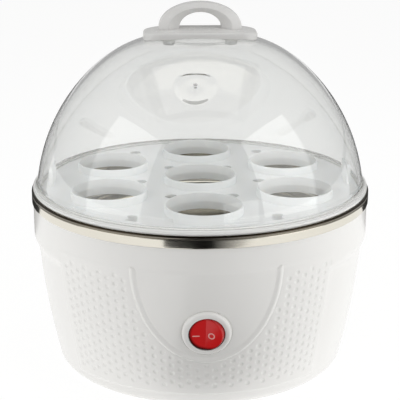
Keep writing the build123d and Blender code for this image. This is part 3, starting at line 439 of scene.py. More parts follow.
def arc_centre(start: Sequence[float], end: Sequence[float], rise: float) -> tuple[Array, float]:
    """Middle and radius of an arc over a chord, whose own middle stands off to the right of the chord.

    With chord c and rise h the radius is (c c / 4 + h h) / 2 h.

    Args:
        start: First point, as radius and height.
        end: Last point.
        rise: Distance of the arc's middle from the chord, negative to the left.

    Returns:
        The circle's middle, and its radius with the rise's sign.
    """
    first = np.asarray(start, float)
    run = np.asarray(end, float) - first
    chord = np.hypot(*run)
    radius = (chord ** 2 / 4 + rise ** 2) / (2 * rise)
    right = np.array((run[1], -run[0])) / chord
    return first + run / 2 + right * (rise - radius), radius


def bowed_radius(low: tuple, high: tuple, rise: float, height: Array) -> Array:
    """Radius at a height on an arc over a chord, bowed outwards: a circle's x at a given y.

    Args:
        low: Lower end, as radius and height.
        high: Upper end.
        rise: Distance of the arc's middle outside the chord.
        height: Heights between the ends.

    Returns:
        Radii.
    """
    centre, bend = arc_centre(low, high, rise)
    return centre[0] + np.sqrt(bend ** 2 - (height - centre[1]) ** 2)


def arc_points(start: Sequence[float], end: Sequence[float], rise: float, count: int) -> Array:
    """Points on the arc of arc_centre, from one end to the other and evenly spaced in angle.

    Args:
        start: First point, as radius and height.
        end: Last point.
        rise: Distance of the arc's middle from the chord, negative to the left.
        count: Number of points, both ends included.

    Returns:
        Points of shape (count, 2).
    """
    centre, _ = arc_centre(start, end, rise)
    return swept(centre, np.asarray(start, float), np.asarray(end, float), count)


def rounded_outline(corners: Sequence[tuple], steps: int = 5, closed: bool = False,
                    hold: float = 0.0) -> Array:
    """Polyline whose corners are rounded by tangent arcs.

    At each corner of turn a and radius r the arc starts r tan(a / 2) before the corner and ends as far after.

    Args:
        corners: Points as (x, y, radius). A radius of zero keeps the corner.
        steps: Intervals in each arc.
        closed: Whether the last corner joins the first.
        hold: Distance from each arc of a further point that keeps the straight run flat, or zero for none.

    Returns:
        Points of shape (count, 2).
    """
    points = np.array([corner[:2] for corner in corners], float)
    pieces = []
    for at, (_, _, radius) in enumerate(corners):
        here = points[at]
        inner = closed or 0 < at < len(points) - 1
        if not inner or radius <= 0:
            pieces.append(here[None])
            continue
        back = points[at - 1] - here
        ahead = points[(at + 1) % len(points)] - here
        back /= np.hypot(*back)
        ahead /= np.hypot(*ahead)
        half = math.acos(np.clip(back @ ahead, -1, 1)) / 2
        centre = here + (back + ahead) / np.hypot(*(back + ahead)) * radius / math.sin(half)
        reach = radius / math.tan(half)
        arc = swept(centre, here + back * reach, here + ahead * reach, steps + 1)
        if hold:
            arc = np.stack((here + back * (reach + hold), *arc, here + ahead * (reach + hold)))
        pieces.append(arc)
    return np.concatenate(pieces)


def smooth_step(value: Array) -> Array:
    """Cubic that rises from zero to one as its argument does, level at both ends."""
    held = np.clip(value, 0, 1)
    return held * held * (3 - 2 * held)


def around(radius: Array, angle: Array, height: Array) -> Array:
    """Points at a radius and height, at an angle round the axis from the front: (r sin a, -r cos a, z)."""
    radius, angle, height = np.broadcast_arrays(radius, angle, height)
    return np.stack((radius * np.sin(angle), -radius * np.cos(angle), height), axis=-1)


def turned(outline: Array, angles: Array) -> Array:
    """Points of an outline of radius and height, carried round the axis."""
    return around(outline[:, None, 0], angles, outline[:, None, 1])


class Skin:
    """Vertices and faces of one piece, gathered as arrays in millimetres."""

    merge_distance = 0.002
    sliver_length = 0.001

    def __init__(self) -> None:
        """Start with nothing."""
        self.points: list[Array] = []
        self.faces: list[list] = []
        self.count = 0

    def add(self, points: Array) -> Array:
        """Add vertices.

        Args:
            points: Array whose last axis holds x, y and z.

        Returns:
            The vertices' numbers, in the array's shape without its last axis.
        """
        shape = points.shape[:-1]
        total = int(np.prod(shape))
        self.points.append(points.reshape(-1, 3))
        numbers = self.count + np.arange(total).reshape(shape)
        self.count += total
        return numbers

    def grid(self, numbers: Array, wrap_rows: bool = False, wrap_columns: bool = False,
             keep: Optional[Array] = None) -> None:
        """Add a quad between each pair of neighbouring rows and columns.

        Args:
            numbers: Vertex numbers in rows and columns.
            wrap_rows: Join the last row to the first.
            wrap_columns: Join the last column to the first.
            keep: Mask of the quads that are wanted, by row and column.
        """
        if wrap_rows:
            numbers = np.concatenate((numbers, numbers[:1]))
        if wrap_columns:
            numbers = np.concatenate((numbers, numbers[:, :1]), axis=1)
        quads = np.stack((numbers[:-1, :-1], numbers[:-1, 1:], numbers[1:, 1:], numbers[1:, :-1]), axis=-1)
        wanted = quads.reshape(-1, 4) if keep is None else quads[keep]
        self.faces += wanted.tolist()

    def stitch(self, loops: Sequence[Array]) -> None:
        """Join closed loops of vertices one to the next with quads.

        Args:
            loops: Vertex numbers whose last axis runs round the loop. Leading axes are separate copies.
        """
        for near, far in zip(loops[:-1], loops[1:]):
            quads = np.stack((near, np.roll(near, -1, -1), np.roll(far, -1, -1), far), axis=-1)
            self.faces += quads.reshape(-1, 4).tolist()

    def cap(self, loop: Array, centre: Array) -> None:
        """Close loops with fans.

        Args:
            loop: Vertex numbers round each loop.
            centre: One vertex number for each loop.
        """
        hub = np.broadcast_to(centre[..., None], loop.shape)
        self.faces += np.stack((loop, np.roll(loop, -1, -1), hub), axis=-1).reshape(-1, 3).tolist()

    def tube(self, rows: Array, ends: Optional[Array] = None) -> None:
        """Join closed loops of points one to the next, and close the first and the last with fans.

        Args:
            rows: Points by loop and by place round the loop.
            ends: Middles of the two fans, or nothing for the means of the two loops.
        """
        numbers = self.add(rows)
        self.grid(numbers, wrap_columns=True)
        hubs = self.add(rows[[0, -1]].mean(axis=1) if ends is None else ends)
        self.cap(numbers[0], hubs[0])
        self.cap(numbers[-1], hubs[1])

    def piece(self, name: str, finish: Finish, body: str, replaced: Sequence[str] = (),
              crease: float = 38.0) -> bpy.types.Object:
        """Make the object, merge what coincides, and ride it on its body.

        Args:
            name: Name of the piece.
            finish: Its material.
            body: CAD body that it moves with.
            replaced: CAD nodes that it stands for.
            crease: Angle in degrees above which an edge stays sharp.

        Returns:
            The new object.
        """
        mesh = bpy.data.meshes.new(name)
        mesh.from_pydata((np.concatenate(self.points) * MM).tolist(), [], self.faces)
        shape = bmesh.new()
        shape.from_mesh(mesh)
        bmesh.ops.remove_doubles(shape, verts=shape.verts, dist=self.merge_distance * MM)
        bmesh.ops.dissolve_degenerate(shape, edges=shape.edges, dist=self.sliver_length * MM)
        loose = [vert for vert in shape.verts if not vert.link_faces]
        bmesh.ops.delete(shape, geom=loose, context="VERTS")
        bmesh.ops.recalc_face_normals(shape, faces=shape.faces)
        shape.to_mesh(mesh)
        shape.free()
        mesh.polygons.foreach_set("use_smooth", np.ones(len(mesh.polygons), bool))
        mesh.set_sharp_from_angle(angle=math.radians(crease))
        mesh.materials.append(finish.material())
        made = linked(name, mesh)
        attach(made, body)
        if replaced:
            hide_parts(*replaced)
        LOG.info("%s: %d faces on %s", name, len(mesh.polygons), body)
        return made


def block_rim(rows: int, columns: int) -> tuple[Array, Array]:
    """Steps round the rim of a block of grid quads, counter-clockwise from its first corner.

    Args:
        rows: Quads up the block.
        columns: Quads across it.

    Returns:
        Row steps and column steps of the rim's vertices.
    """
    up = np.arange(rows)
    across = np.arange(columns)
    row = np.concatenate((np.zeros(columns, int), up, np.full(columns, rows), rows - up))
    column = np.concatenate((across, np.full(rows, columns), columns - across, np.zeros(rows, int)))
    return row, column


def open_wall(numbers: Array, keep: Array, outer_row: int, inner_row: int, columns: Array,
              tall: int) -> tuple[Array, Array, Array, Array]:
    """Take like blocks of quads out of the outer and the inner face of a wall.

    The inner face's rows run the other way, so its rim is read from its last row back.

    Args:
        numbers: Vertex numbers of the wall's grid.
        keep: Mask of the grid's quads, in which both blocks are cleared.
        outer_row: First row of the outer block.
        inner_row: First row of the inner block.
        columns: Columns of the blocks' vertices.
        tall: Quads up a block.

    Returns:
        Outer rim and inner rim as vertex numbers, and the rim's row steps and columns.
    """
    steps = np.arange(tall)[:, None]
    for first in (outer_row, inner_row):
        keep[first + steps, columns[None, :-1]] = False
    row, column = block_rim(tall, len(columns) - 1)
    column = columns[0] + column
    return numbers[outer_row + row, column], numbers[inner_row + tall - row, column], row, column


@dataclass
class BaseShell:
    """White moulded base: bowed wall, taper, collar, and a raised panel with dimples and a U-shaped rib."""

    bottom: float = 1.0
    cover_radius: float = 62.3
    floor: float = 2.2
    wall: float = 2.4
    foot_radius: float = 73.6
    corner_width: float = 5.4
    corner_height: float = 5.0
    corner_bulge: float = 1.55
    corner_points: int = 9
    top_radius: float = 82.1
    taper_bottom: float = 61.2
    bulge: float = 1.1
    collar_radius: float = 84.4
    collar_bottom: float = 68.0
    collar_top: float = 84.2
    collar_lead: float = 0.4
    collar_round: float = 0.35
    neck_radius: float = 83.9
    neck_wall: float = 2.0
    neck_top: float = 87.6
    neck_round: float = 0.3
    crease: float = 40.0
    # Raised panel: its edges as angles and heights, and how far it stands out
    panel_left: float = -54.5
    panel_right: float = 45.0
    panel_foot: float = 8.0
    panel_top: float = 72.5
    panel_raise: float = 0.5
    panel_top_raise: float = 0.25
    panel_bulge: float = 0.7
    top_stretch: float = 1.8
    # Distances from the panel's edge at which the grid has a line, where the edge's step starts and ends,
    # and the height at which the side edges' lines are laid out
    edge_lines: tuple = (-0.5, -0.25, 0.0, 0.25, 0.5, 0.75, 1.2)
    edge_ramp: tuple = (-0.5, 0.75)
    edge_height: float = 63.25
    # Grid away from the panel: points round the back from edge to edge, rows on the collar, the lowest row's
    # rise, and rows of the inner face above and below the switch
    back_points: int = 88
    collar_rows: int = 9
    foot_row: float = 0.7
    inner_rows: tuple = (8, 6)
    # Dimples: places as angles and heights, quads along a side of each one's block, and its rings as radius
    # and depth
    column_step: float = 3.0
    row_step: float = 4.4
    first_column: float = -51.0
    last_column: float = 42.0
    first_row: float = 13.0
    last_row: float = 68.0
    row_slack: float = 0.01
    block: int = 4
    dimple_radius: float = 1.12
    dimple_depth: float = 0.34
    dimple_ring_shares: tuple = ((1.32, 0.0), (1.08, 0.16), (0.84, 0.7), (0.45, 0.97))
    # Rib: the U's half ellipse, how its ends taper, and its section as distance out from the U's line and
    # height above the panel
    rib_half_width: float = 34.6
    rib_drop: float = 46.2
    rib_margin: float = 2.1
    rib_rise: float = 0.9
    rib_points: int = 181
    rib_tip: float = 0.2
    rib_taper_steps: float = 2.0
    rib_section: tuple = (
        (-2.8, -0.05), (-2.2, 0.12), (-1.7, 0.32), (-1.2, 0.53), (-0.8, 0.64), (-0.5, 0.66),
        (-0.2, 0.60), (0.1, 0.44), (0.4, 0.18), (0.6, -0.05), (0.5, -0.4), (-2.7, -0.4),
    )
    # Switch pocket: room round it across and up, and the rings of its edge as distance out and depth
    pocket_radius: float = 11.7
    hole_radius: float = 10.1
    pocket_room: tuple = (2.1, 2.4)
    pocket_rings: tuple = ((0.9, 0.0), (0.35, 0.0), (0.12, 0.06), (0.0, 0.25))
    settle_steps: int = 6
    gland_height: float = 20.0
    gland_pad_radius: float = 10.5
    gland_pad_proud: float = 2.0
    gland_pad_depth: float = 6.0
    gland_pad_round: float = 0.8
    gland_pad_points: int = 72
    gland_hole: float = 6.2
    gland_hole_round: float = 0.3

    def radius(self, height: Array) -> Array:
        """Outer radius of the wall at a height: a bowed arc, then a cubic step out to the collar.

        Args:
            height: Heights above the foot corner.

        Returns:
            Radii.
        """
        low = (self.foot_radius, self.bottom + self.corner_height)
        high = (self.top_radius, self.taper_bottom)
        arc = bowed_radius(low, high, self.bulge, np.minimum(height, self.taper_bottom))
        step = (height - self.taper_bottom) / (self.collar_bottom - self.taper_bottom)
        return arc + (self.collar_radius - self.top_radius) * smooth_step(step)

    def panel_radius(self, height: Array) -> Array:
        """Radius of the panel's face at a height: a flatter arc from the foot up to the collar.

        Args:
            height: Heights above the foot corner.

        Returns:
            Radii.
        """
        low = (self.foot_radius + self.panel_raise, self.bottom + self.corner_height)
        high = (self.collar_radius + self.panel_top_raise, self.panel_top)
        return bowed_radius(low, high, self.panel_bulge, height)

    def skin(self, angle: Array, height: Array) -> Array:
        """Radius of the outer face: wall, or panel by a cubic step of the distance inside the panel's edge.

        The step is stretched at the top edge, which is softer.

        Args:
            angle: Angles round the axis.
            height: Heights.

        Returns:
            Radii.
        """
        wall = self.radius(height)
        inside = np.minimum(
            np.minimum(angle - math.radians(self.panel_left), math.radians(self.panel_right) - angle) * wall,
            np.minimum(height - self.panel_foot, (self.panel_top - height) / self.top_stretch),
        )
        low, high = self.edge_ramp
        share = smooth_step((inside - low) / (high - low))
        return wall + share * (self.panel_radius(np.minimum(height, self.panel_top + 2 * high)) - wall)

    def dimple_lines(self, first: float, last: float, step: float) -> Array:
        """Grid lines through a run of dimples, with half a block to spare at both ends.

        Args:
            first: Middle of the first dimple.
            last: Middle of the last one.
            step: Distance from one to the next.

        Returns:
            Places of the lines.
        """
        fine = step / self.block
        spare = self.block / 2
        return np.arange(first - spare * fine, last + (spare + 0.5) * fine, fine)

    def angle_lines(self) -> Array:
        """Work out the grid's columns: fine over the panel, closer at its edges, coarse round the back.

        Returns:
            Angles.
        """
        edge = np.degrees(np.array(self.edge_lines) / self.radius(np.array(self.edge_height)))
        field = self.dimple_lines(self.first_column, self.last_column, self.column_step)
        left = self.panel_left + edge
        right = self.panel_right - edge[::-1]
        back = np.linspace(right[-1], left[0] + 360, self.back_points)[1:-1]
        return np.radians(np.concatenate((left, field, right, back)))

    def height_lines(self) -> Array:
        """Work out the grid's rows on the outer face, from the foot corner to the collar's top edge.

        Returns:
            Heights.
        """
        edge = np.array(self.edge_lines)
        field = self.dimple_lines(self.first_row, self.last_row, self.row_step)
        top = self.panel_top - self.top_stretch * edge[::-1]
        collar = np.linspace(top[-1], self.collar_top - self.collar_lead, self.collar_rows)[1:]
        foot = np.array((self.bottom + self.corner_height + self.foot_row,))
        return np.concatenate((foot, self.panel_foot + edge, field, top, collar))

    def dimple_cells(self, angles: Array, heights: Array) -> tuple[Array, Array]:
        """Rows and columns of the grid where dimples' blocks start.

        Odd columns sit half a step higher. A dimple is kept where it is clear of the rib's outer side.

        Args:
            angles: The grid's angles.
            heights: The grid's heights.

        Returns:
            Row numbers and column numbers of the blocks' first corners.
        """
        columns = np.arange(round((self.last_column - self.first_column) / self.column_step) + 1)
        rows = np.arange(round((self.last_row - self.first_row) / self.row_step) + 1)
        column, row = (part.ravel() for part in np.meshgrid(columns, rows))
        angle = np.radians(self.first_column + column * self.column_step)
        height = self.first_row + (row + (column % 2) / 2) * self.row_step
        across = self.radius(height) * np.sin(angle)
        outside = (across / (self.rib_half_width + self.rib_margin)) ** 2
        outside = outside + ((self.panel_top - height) / (self.rib_drop + self.rib_margin)) ** 2
        wanted = (outside > 1) & (height <= self.last_row + self.row_slack)
        half_turn = math.radians(self.column_step / 2)
        first_column = np.abs(angles[None] - (angle[wanted, None] - half_turn)).argmin(1)
        first_row = np.abs(heights[None] - (height[wanted, None] - self.row_step / 2)).argmin(1)
        return first_row, first_column

    def sink_dimples(self, skin: Skin, rows: Array, keep: Array, angles: Array, heights: Array) -> None:
        """Give each dimple a block of quads of the outer face, and fill the block with rings.

        Args:
            skin: The shell's skin, which gets the rings.
            rows: Vertex numbers of the outer face.
            keep: Mask of the outer face's quads, in which the blocks are cleared.
            angles: The grid's angles.
            heights: The outer face's heights.
        """
        first_row, first_column = self.dimple_cells(angles, heights)
        step = np.arange(self.block)
        keep[first_row[:, None, None] + step[:, None], first_column[:, None, None] + step] = False
        rim_row, rim_column = block_rim(self.block, self.block)
        half = self.block // 2
        mid_angle = angles[first_column + half]
        mid_height = heights[first_row + half]
        reach = self.radius(mid_height)
        column_width = math.radians(self.column_step / self.block) * reach.mean()
        spread = np.arctan2((rim_row - half) * self.row_step / self.block, (rim_column - half) * column_width)
        loops = [rows[first_row[:, None] + rim_row, first_column[:, None] + rim_column]]
        for share, sink in self.dimple_ring_shares:
            out = share * self.dimple_radius
            turn = mid_angle[:, None] + out * np.cos(spread) / reach[:, None]
            level = mid_height[:, None] + out * np.sin(spread)
            loops.append(skin.add(around(self.skin(turn, level) - sink * self.dimple_depth, turn, level)))
        skin.stitch(loops)
        floor = self.skin(mid_angle, mid_height) - self.dimple_depth
        skin.cap(loops[-1], skin.add(around(floor, mid_angle, mid_height)))

    def build(self) -> None:
        """Make the shell, its rib and the pad round the cord's entry.

        The shell is one grid. Its rows are an outline that starts at the cover's edge, goes up the outer
        face and comes down the inner one, and its columns go round the axis.
        """
        angles = self.angle_lines()
        heights = self.height_lines()
        corner_top = self.bottom + self.corner_height
        corner_start = (self.foot_radius - self.corner_width, self.bottom)
        corner_end = (self.foot_radius, corner_top)
        corner = arc_points(corner_start, corner_end, self.corner_bulge, self.corner_points)
        foot = np.concatenate((np.array([(self.cover_radius, self.bottom)]), corner))
        neck_inside = self.neck_radius - self.neck_wall
        neck = rounded_outline([
            (self.collar_radius, self.collar_top - self.collar_lead, 0),
            (self.collar_radius, self.collar_top, self.collar_round),
            (self.neck_radius, self.collar_top, 0),
            (self.neck_radius, self.neck_top, self.neck_round),
            (neck_inside, self.neck_top, self.neck_round),
            (neck_inside, self.collar_top, 0),
        ])[1:]
        room_across, room_up = self.pocket_room
        hole_rows = np.flatnonzero(np.abs(heights - SWITCH.origin[2]) < self.pocket_radius + room_up)
        hole_heights = heights[hole_rows]
        rows_above, rows_below = self.inner_rows
        inner_heights = np.concatenate((
            np.linspace(self.collar_bottom, hole_heights[-1], rows_above, endpoint=False),
            hole_heights[::-1],
            np.linspace(hole_heights[0], corner_top + self.floor, rows_below)[1:],
        ))
        inside = np.stack((self.radius(inner_heights) - self.wall, inner_heights), axis=-1)
        last = np.array([
            (self.foot_radius - self.corner_width - self.wall, self.bottom + self.floor),
            (self.cover_radius, self.bottom + self.floor),
        ])
        skin = Skin()
        turn, level = np.meshgrid(angles, heights)
        rows = np.concatenate((
            skin.add(turned(foot, angles)),
            skin.add(around(self.skin(turn, level), turn, level)),
            skin.add(turned(neck, angles)),
            skin.add(turned(inside, angles)),
            skin.add(turned(last, angles)),
        ))
        keep = np.ones(rows.shape, bool)
        outer_start = len(foot)
        outer_end = outer_start + len(heights)
        outer = slice(outer_start, outer_end)
        self.sink_dimples(skin, rows[outer], keep[outer], angles, heights)

        # Switch pocket: the same swap with a larger block, through to a like block of the inner face
        wall_radius = self.radius(SWITCH.origin[2])
        hole_columns = np.flatnonzero(np.abs(angles) * wall_radius < self.pocket_radius + room_across)
        inner_first = outer_end + len(neck) + rows_above
        outer_rim, inner_rim, row, column = open_wall(
            rows, keep, outer_start + hole_rows[0], inner_first, hole_columns, len(hole_rows) - 1)
        spread = np.arctan2(heights[hole_rows[0] + row] - SWITCH.origin[2], angles[column] * wall_radius)
        loops = [outer_rim]
        for out, sink in self.pocket_rings:
            loops.append(skin.add(self.on_wall(spread, self.pocket_radius + out, self.panel_radius, -sink)))
        for radius in (self.pocket_radius, self.hole_radius):
            loops.append(skin.add(SWITCH.place(radius * np.cos(spread), radius * np.sin(spread), 0.0)))
        for radius in (self.hole_radius, self.pocket_radius + self.pocket_rings[0][0]):
            loops.append(skin.add(self.on_wall(spread, radius, self.radius, -self.wall)))
        skin.stitch(loops + [inner_rim])
        skin.grid(rows, wrap_rows=True, wrap_columns=True, keep=keep)
        skin.piece("base_shell_moulded", FINISHES["white_plastic"], "base", ["base_shell"],
                   self.crease)
        self.build_rib()
        self.build_gland_pad()

    def on_wall(self, spread: Array, radius: float, face: Callable, lift: float) -> Array:
        """Circle about the switch's axis, laid on the wall or the panel.

        The station of each point is found by stepping along the axis until the point's distance from the
        base's axis is the face's radius plus the lift.

        Args:
            spread: Angles round the switch's axis.
            radius: The circle's radius.
            face: Method that gives the face's radius at a height.
            lift: Distance of the circle outside the face.

        Returns:
            Points of the circle.
        """
        x, y = radius * np.cos(spread), radius * np.sin(spread)
        station = np.zeros_like(spread)
        for _ in range(self.settle_steps):
            points = SWITCH.place(x, y, station)
            station = station + face(points[:, 2]) + lift - np.hypot(points[:, 0], points[:, 1])
        return SWITCH.place(x, y, station)

    def build_rib(self) -> None:
        """U-shaped rib: a low rounded strip laid on the panel along a half ellipse.

        The path is (a cos t, b sin t) below a point over the panel's top edge. A section point lies off it
        along the ellipse's normal, and its distance from the base's axis is the panel's radius there plus
        its height.
        """
        t = np.linspace(0, math.pi, self.rib_points)[:, None]
        tall = self.rib_drop + self.rib_rise
        normal = np.stack((np.cos(t) / self.rib_half_width, -np.sin(t) / tall), axis=-1)
        normal /= np.linalg.norm(normal, axis=-1, keepdims=True)
        steps = np.arange(len(t))[:, None]
        from_end = np.minimum(steps, steps[::-1]) + self.rib_tip
        size = np.sqrt(np.clip(from_end / self.rib_taper_steps, 0, 1))
        section = np.array(self.rib_section)
        across = self.rib_half_width * np.cos(t) + size * section[:, 0] * normal[..., 0]
        height = self.panel_top + self.rib_rise - tall * np.sin(t) + size * section[:, 0] * normal[..., 1]
        reach = self.panel_radius(height) + size * section[:, 1]
        skin = Skin()
        skin.tube(np.stack((across, -np.sqrt(reach ** 2 - across ** 2), height), axis=-1))
        skin.piece("panel_rib", FINISHES["white_plastic"], "base")

    def build_gland_pad(self) -> None:
        """Round pad on the back wall that the cord gland's flange seats on, turned about the gland's axis."""
        face = float(self.radius(np.array(self.gland_height))) + self.gland_pad_proud
        root = face - self.gland_pad_depth
        outline = rounded_outline([
            (self.gland_hole, root, 0),
            (self.gland_pad_radius, root, 0),
            (self.gland_pad_radius, face, self.gland_pad_round),
            (self.gland_hole, face, self.gland_hole_round),
            (self.gland_hole, root, 0),
        ])[:-1]
        turn = np.linspace(0, 2 * math.pi, self.gland_pad_points, endpoint=False)
        out = outline[:, None, 0]
        points = np.stack(np.broadcast_arrays(
            out * np.sin(turn), outline[:, None, 1], self.gland_height + out * np.cos(turn)), axis=-1)
        skin = Skin()
        skin.grid(skin.add(points), wrap_rows=True, wrap_columns=True)
        skin.piece("gland_pad", FINISHES["white_plastic"], "base")


@dataclass
class HeatingDish:
    """Drawn steel dish: pan, flange, rolled bead and the band that shows round the base."""

    pan_radius: float = 74.5
    pan_floor: float = 68.0
    pan_corner: float = 5.0
    lip_round: float = 1.6
    sheet: float = 0.8
    rim_radius: float = 85.0
    flange_top: float = 89.2
    # Bead: its round, and the angles in degrees at which it leaves the flange and ends over the band
    bead_radius: float = 0.8
    bead_sweep: tuple = (180.0, -58.0)
    bead_points: int = 17
    # Band: its bottom, the groove under the bead, and the rounds of its top, its bottom and its inner edge
    band_bottom: float = 84.2
    groove: float = 0.45
    band_drop: float = 0.15
    band_rounds: tuple = (0.35, 0.25, 0.2)
    # Distances of the points that keep the straight runs flat, inside and outside
    inside_hold: float = 0.2
    band_hold: float = 0.15
    columns: int = 288
    crease: float = 50.0

    def build(self) -> None:
        """Turn the dish about Z from its outline of radius and height."""
        bead_centre = self.rim_radius - self.bead_radius
        sweep = np.radians(np.linspace(*self.bead_sweep, self.bead_points))
        bead = np.array((bead_centre, self.flange_top)) + self.bead_radius * np.stack(
            (np.cos(sweep), np.sin(sweep)), axis=-1)
        notch = self.flange_top - self.bead_radius
        skirt = self.rim_radius - self.sheet
        under = self.flange_top - self.sheet
        pan_outside = self.pan_radius + self.sheet
        pan_under = self.pan_floor - self.sheet
        top_round, bottom_round, inner_round = self.band_rounds
        inside = rounded_outline([
            (0, self.pan_floor, 0),
            (self.pan_radius, self.pan_floor, self.pan_corner),
            (self.pan_radius, self.flange_top, self.lip_round),
            (bead_centre - self.bead_radius, self.flange_top, 0),
        ], steps=8, hold=self.inside_hold)
        band = rounded_outline([
            (self.rim_radius - self.groove, notch, 0),
            (self.rim_radius, notch - self.band_drop, top_round),
            (self.rim_radius, self.band_bottom, bottom_round),
            (skirt, self.band_bottom, inner_round),
            (skirt, under, 0),
            (pan_outside, under, self.lip_round - self.sheet),
            (pan_outside, pan_under, self.pan_corner + self.sheet),
            (0, pan_under, 0),
        ], steps=6, hold=self.band_hold)
        outline = np.concatenate((inside[:-1], bead, band))
        angles = np.linspace(0, 2 * math.pi, self.columns, endpoint=False)
        skin = Skin()
        skin.grid(skin.add(turned(outline, angles)), wrap_rows=True, wrap_columns=True)
        skin.piece("heating_dish_drawn", FINISHES["stainless"], "base", ["heating_dish"],
                   self.crease)


@dataclass
class Lid:
    """Clear domed lid with a flared lip, a vent boss, and a white loop handle on a saddle plate."""

    wall: float = 1.8
    arc_radius: float = 90.0
    arc_offset: float = -7.5
    arc_height: float = 83.3
    crown_height: float = 166.5
    crown_radius: float = 190.0
    shoulder_round: float = 55.0
    lip_bottom: float = 90.3
    lip_thickness: float = 1.6
    lip_radius: float = 84.2
    lip_rounds: tuple = (0.6, 0.5)
    lip_flare: float = 3.2
    flare_points: int = 7
    spigot_radius: float = 82.8
    spigot_wall: float = 1.6
    spigot_drop: float = 0.8
    spigot_round: float = 0.25
    mouth_step: tuple = (0.5, 0.3)
    mouth_round: float = 0.8
    # Rows of the grid as tilts of the dome's normal in degrees: first, last and count, and for the wall
    # first and count
    crown_rows: tuple = (90.0, 80.6, 12)
    shoulder_rows: tuple = (80.4, 62.0, 14)
    wall_rows: tuple = (61.5, 62)
    columns: int = 240
    dome_crease: float = 60.0
    # Vent boss: its place, half its block's size, its rings from outside in as radius and height above the
    # lid's face, and the radii of the rings on the inner face, from the vent hole out
    boss_angle: float = 48.5
    boss_turn: float = -4.5
    boss_room: float = 12.0
    boss_rings: tuple = (
        (10.6, 0.0), (10.0, 0.05), (9.5, 0.18), (8.8, 0.42), (7.6, 0.72), (6.0, 0.96), (4.5, 1.08),
        (3.0, 1.13), (1.3, 1.15), (1.0, 1.1), (0.9, 0.95),
    )
    boss_inner_rings: tuple = (0.9, 1.2, 6.0, 10.5)
    # Saddle plate: its sizes, and the shares of its plan at which its under side and its top have a ring
    plate_width: float = 56.0
    plate_depth: float = 24.0
    plate_corner: float = 8.0
    plate_corner_steps: int = 14
    plate_thickness: float = 3.4
    plate_round: float = 1.2
    plate_under_round: float = 0.5
    plate_round_points: int = 7
    plate_gap: float = 0.1
    under_shares: tuple = (0.35, 0.7, 0.9)
    top_shares: tuple = (0.85, 0.65, 0.35)
    # Loop: its outer and inner half ellipses, the share of the plate's thickness that its feet sink, and its
    # section as distance out, distance to the back and corner round
    loop_outer: tuple = (20.3, 12.2)
    loop_inner: tuple = (10.2, 7.5)
    loop_points: int = 73
    loop_corner_steps: int = 4
    loop_sink: float = 0.8
    loop_section: tuple = (
        (0.0, -3.4, 0.7), (3.6, -6.0, 0.5), (7.0, -3.4, 0.9),
        (7.0, 3.4, 0.9), (3.6, 6.0, 0.5), (0.0, 3.4, 0.7),
    )
    handle_crease: float = 32.0

    def meridian(self, tilt: Array, offset: float) -> Array:
        """Radius and height of the dome's skin where its normal has a tilt above the level.

        The meridian is three arcs joined tangent: wall, shoulder and crown. A point is its arc's centre plus
        the arc's radius along the normal, and an inner skin is the same with a shorter radius.

        Args:
            tilt: Angles of the normal above the level.
            offset: Distance outside the outer skin, negative for the inner one.

        Returns:
            Points of shape (count, 2).
        """
        wall_centre = np.array((self.arc_offset, self.arc_height))
        crown_centre = np.array((0.0, self.crown_height - self.crown_radius))
        near = self.arc_radius - self.shoulder_round
        far = self.crown_radius - self.shoulder_round
        run = crown_centre - wall_centre
        span = np.hypot(*run)
        along = (near ** 2 - far ** 2 + span ** 2) / (2 * span)
        across = math.sqrt(near ** 2 - along ** 2)
        middle = wall_centre + along * run / span + across * np.array((-run[1], run[0])) / span
        low = math.atan2(*(middle - wall_centre)[::-1])
        high = math.atan2(*(middle - crown_centre)[::-1])
        part = np.searchsorted((low, high), tilt)
        centres = np.stack((wall_centre, middle, crown_centre))[part]
        radii = np.array((self.arc_radius, self.shoulder_round, self.crown_radius))[part] + offset
        return centres + radii[:, None] * np.stack((np.cos(tilt), np.sin(tilt)), axis=-1)

    def build(self) -> None:
        """Make the dome with its vent boss, then the handle.

        The dome is one grid. Its rows are an outline from the crown down the outer face, round the lip and
        back up the inner face, and its columns go round the axis.
        """
        lip_top = self.lip_bottom + self.lip_thickness
        foot_tilt = math.degrees(math.asin((lip_top + self.lip_flare - self.arc_height) / self.arc_radius))
        wall_start, wall_count = self.wall_rows
        runs = (self.crown_rows, self.shoulder_rows, (wall_start, foot_tilt, wall_count))
        tilt = np.radians(np.concatenate([np.linspace(*run) for run in runs]))
        outer = self.meridian(tilt, 0.0)
        inner = self.meridian(tilt, -self.wall)[::-1]
        reach = self.arc_offset + math.sqrt(self.arc_radius ** 2 - (lip_top - self.arc_height) ** 2)
        flare_end = (reach + self.lip_flare / 2, lip_top)
        flare = arc_points(outer[-1], flare_end, self.lip_flare / 4, self.flare_points)[1:]
        mouth = self.spigot_radius - self.spigot_wall
        mouth_in, mouth_up = self.mouth_step
        spigot_bottom = self.lip_bottom - self.spigot_drop
        lip = rounded_outline([
            (*flare[-1], 0),
            (self.lip_radius, lip_top, self.lip_rounds[0]),
            (self.lip_radius, self.lip_bottom, self.lip_rounds[1]),
            (self.spigot_radius, self.lip_bottom, 0),
            (self.spigot_radius, spigot_bottom, self.spigot_round),
            (mouth, spigot_bottom, self.spigot_round),
            (mouth - mouth_in, self.lip_bottom + mouth_up, self.mouth_round),
            (*inner[0], 0),
        ])[1:-1]
        outline = np.concatenate((outer, flare, lip, inner))
        angles = (np.arange(self.columns) - self.columns // 2) * 2 * math.pi / self.columns
        skin = Skin()
        rows = skin.add(turned(outline, angles + math.radians(self.boss_turn)))
        keep = np.ones((len(outline) - 1, self.columns), bool)

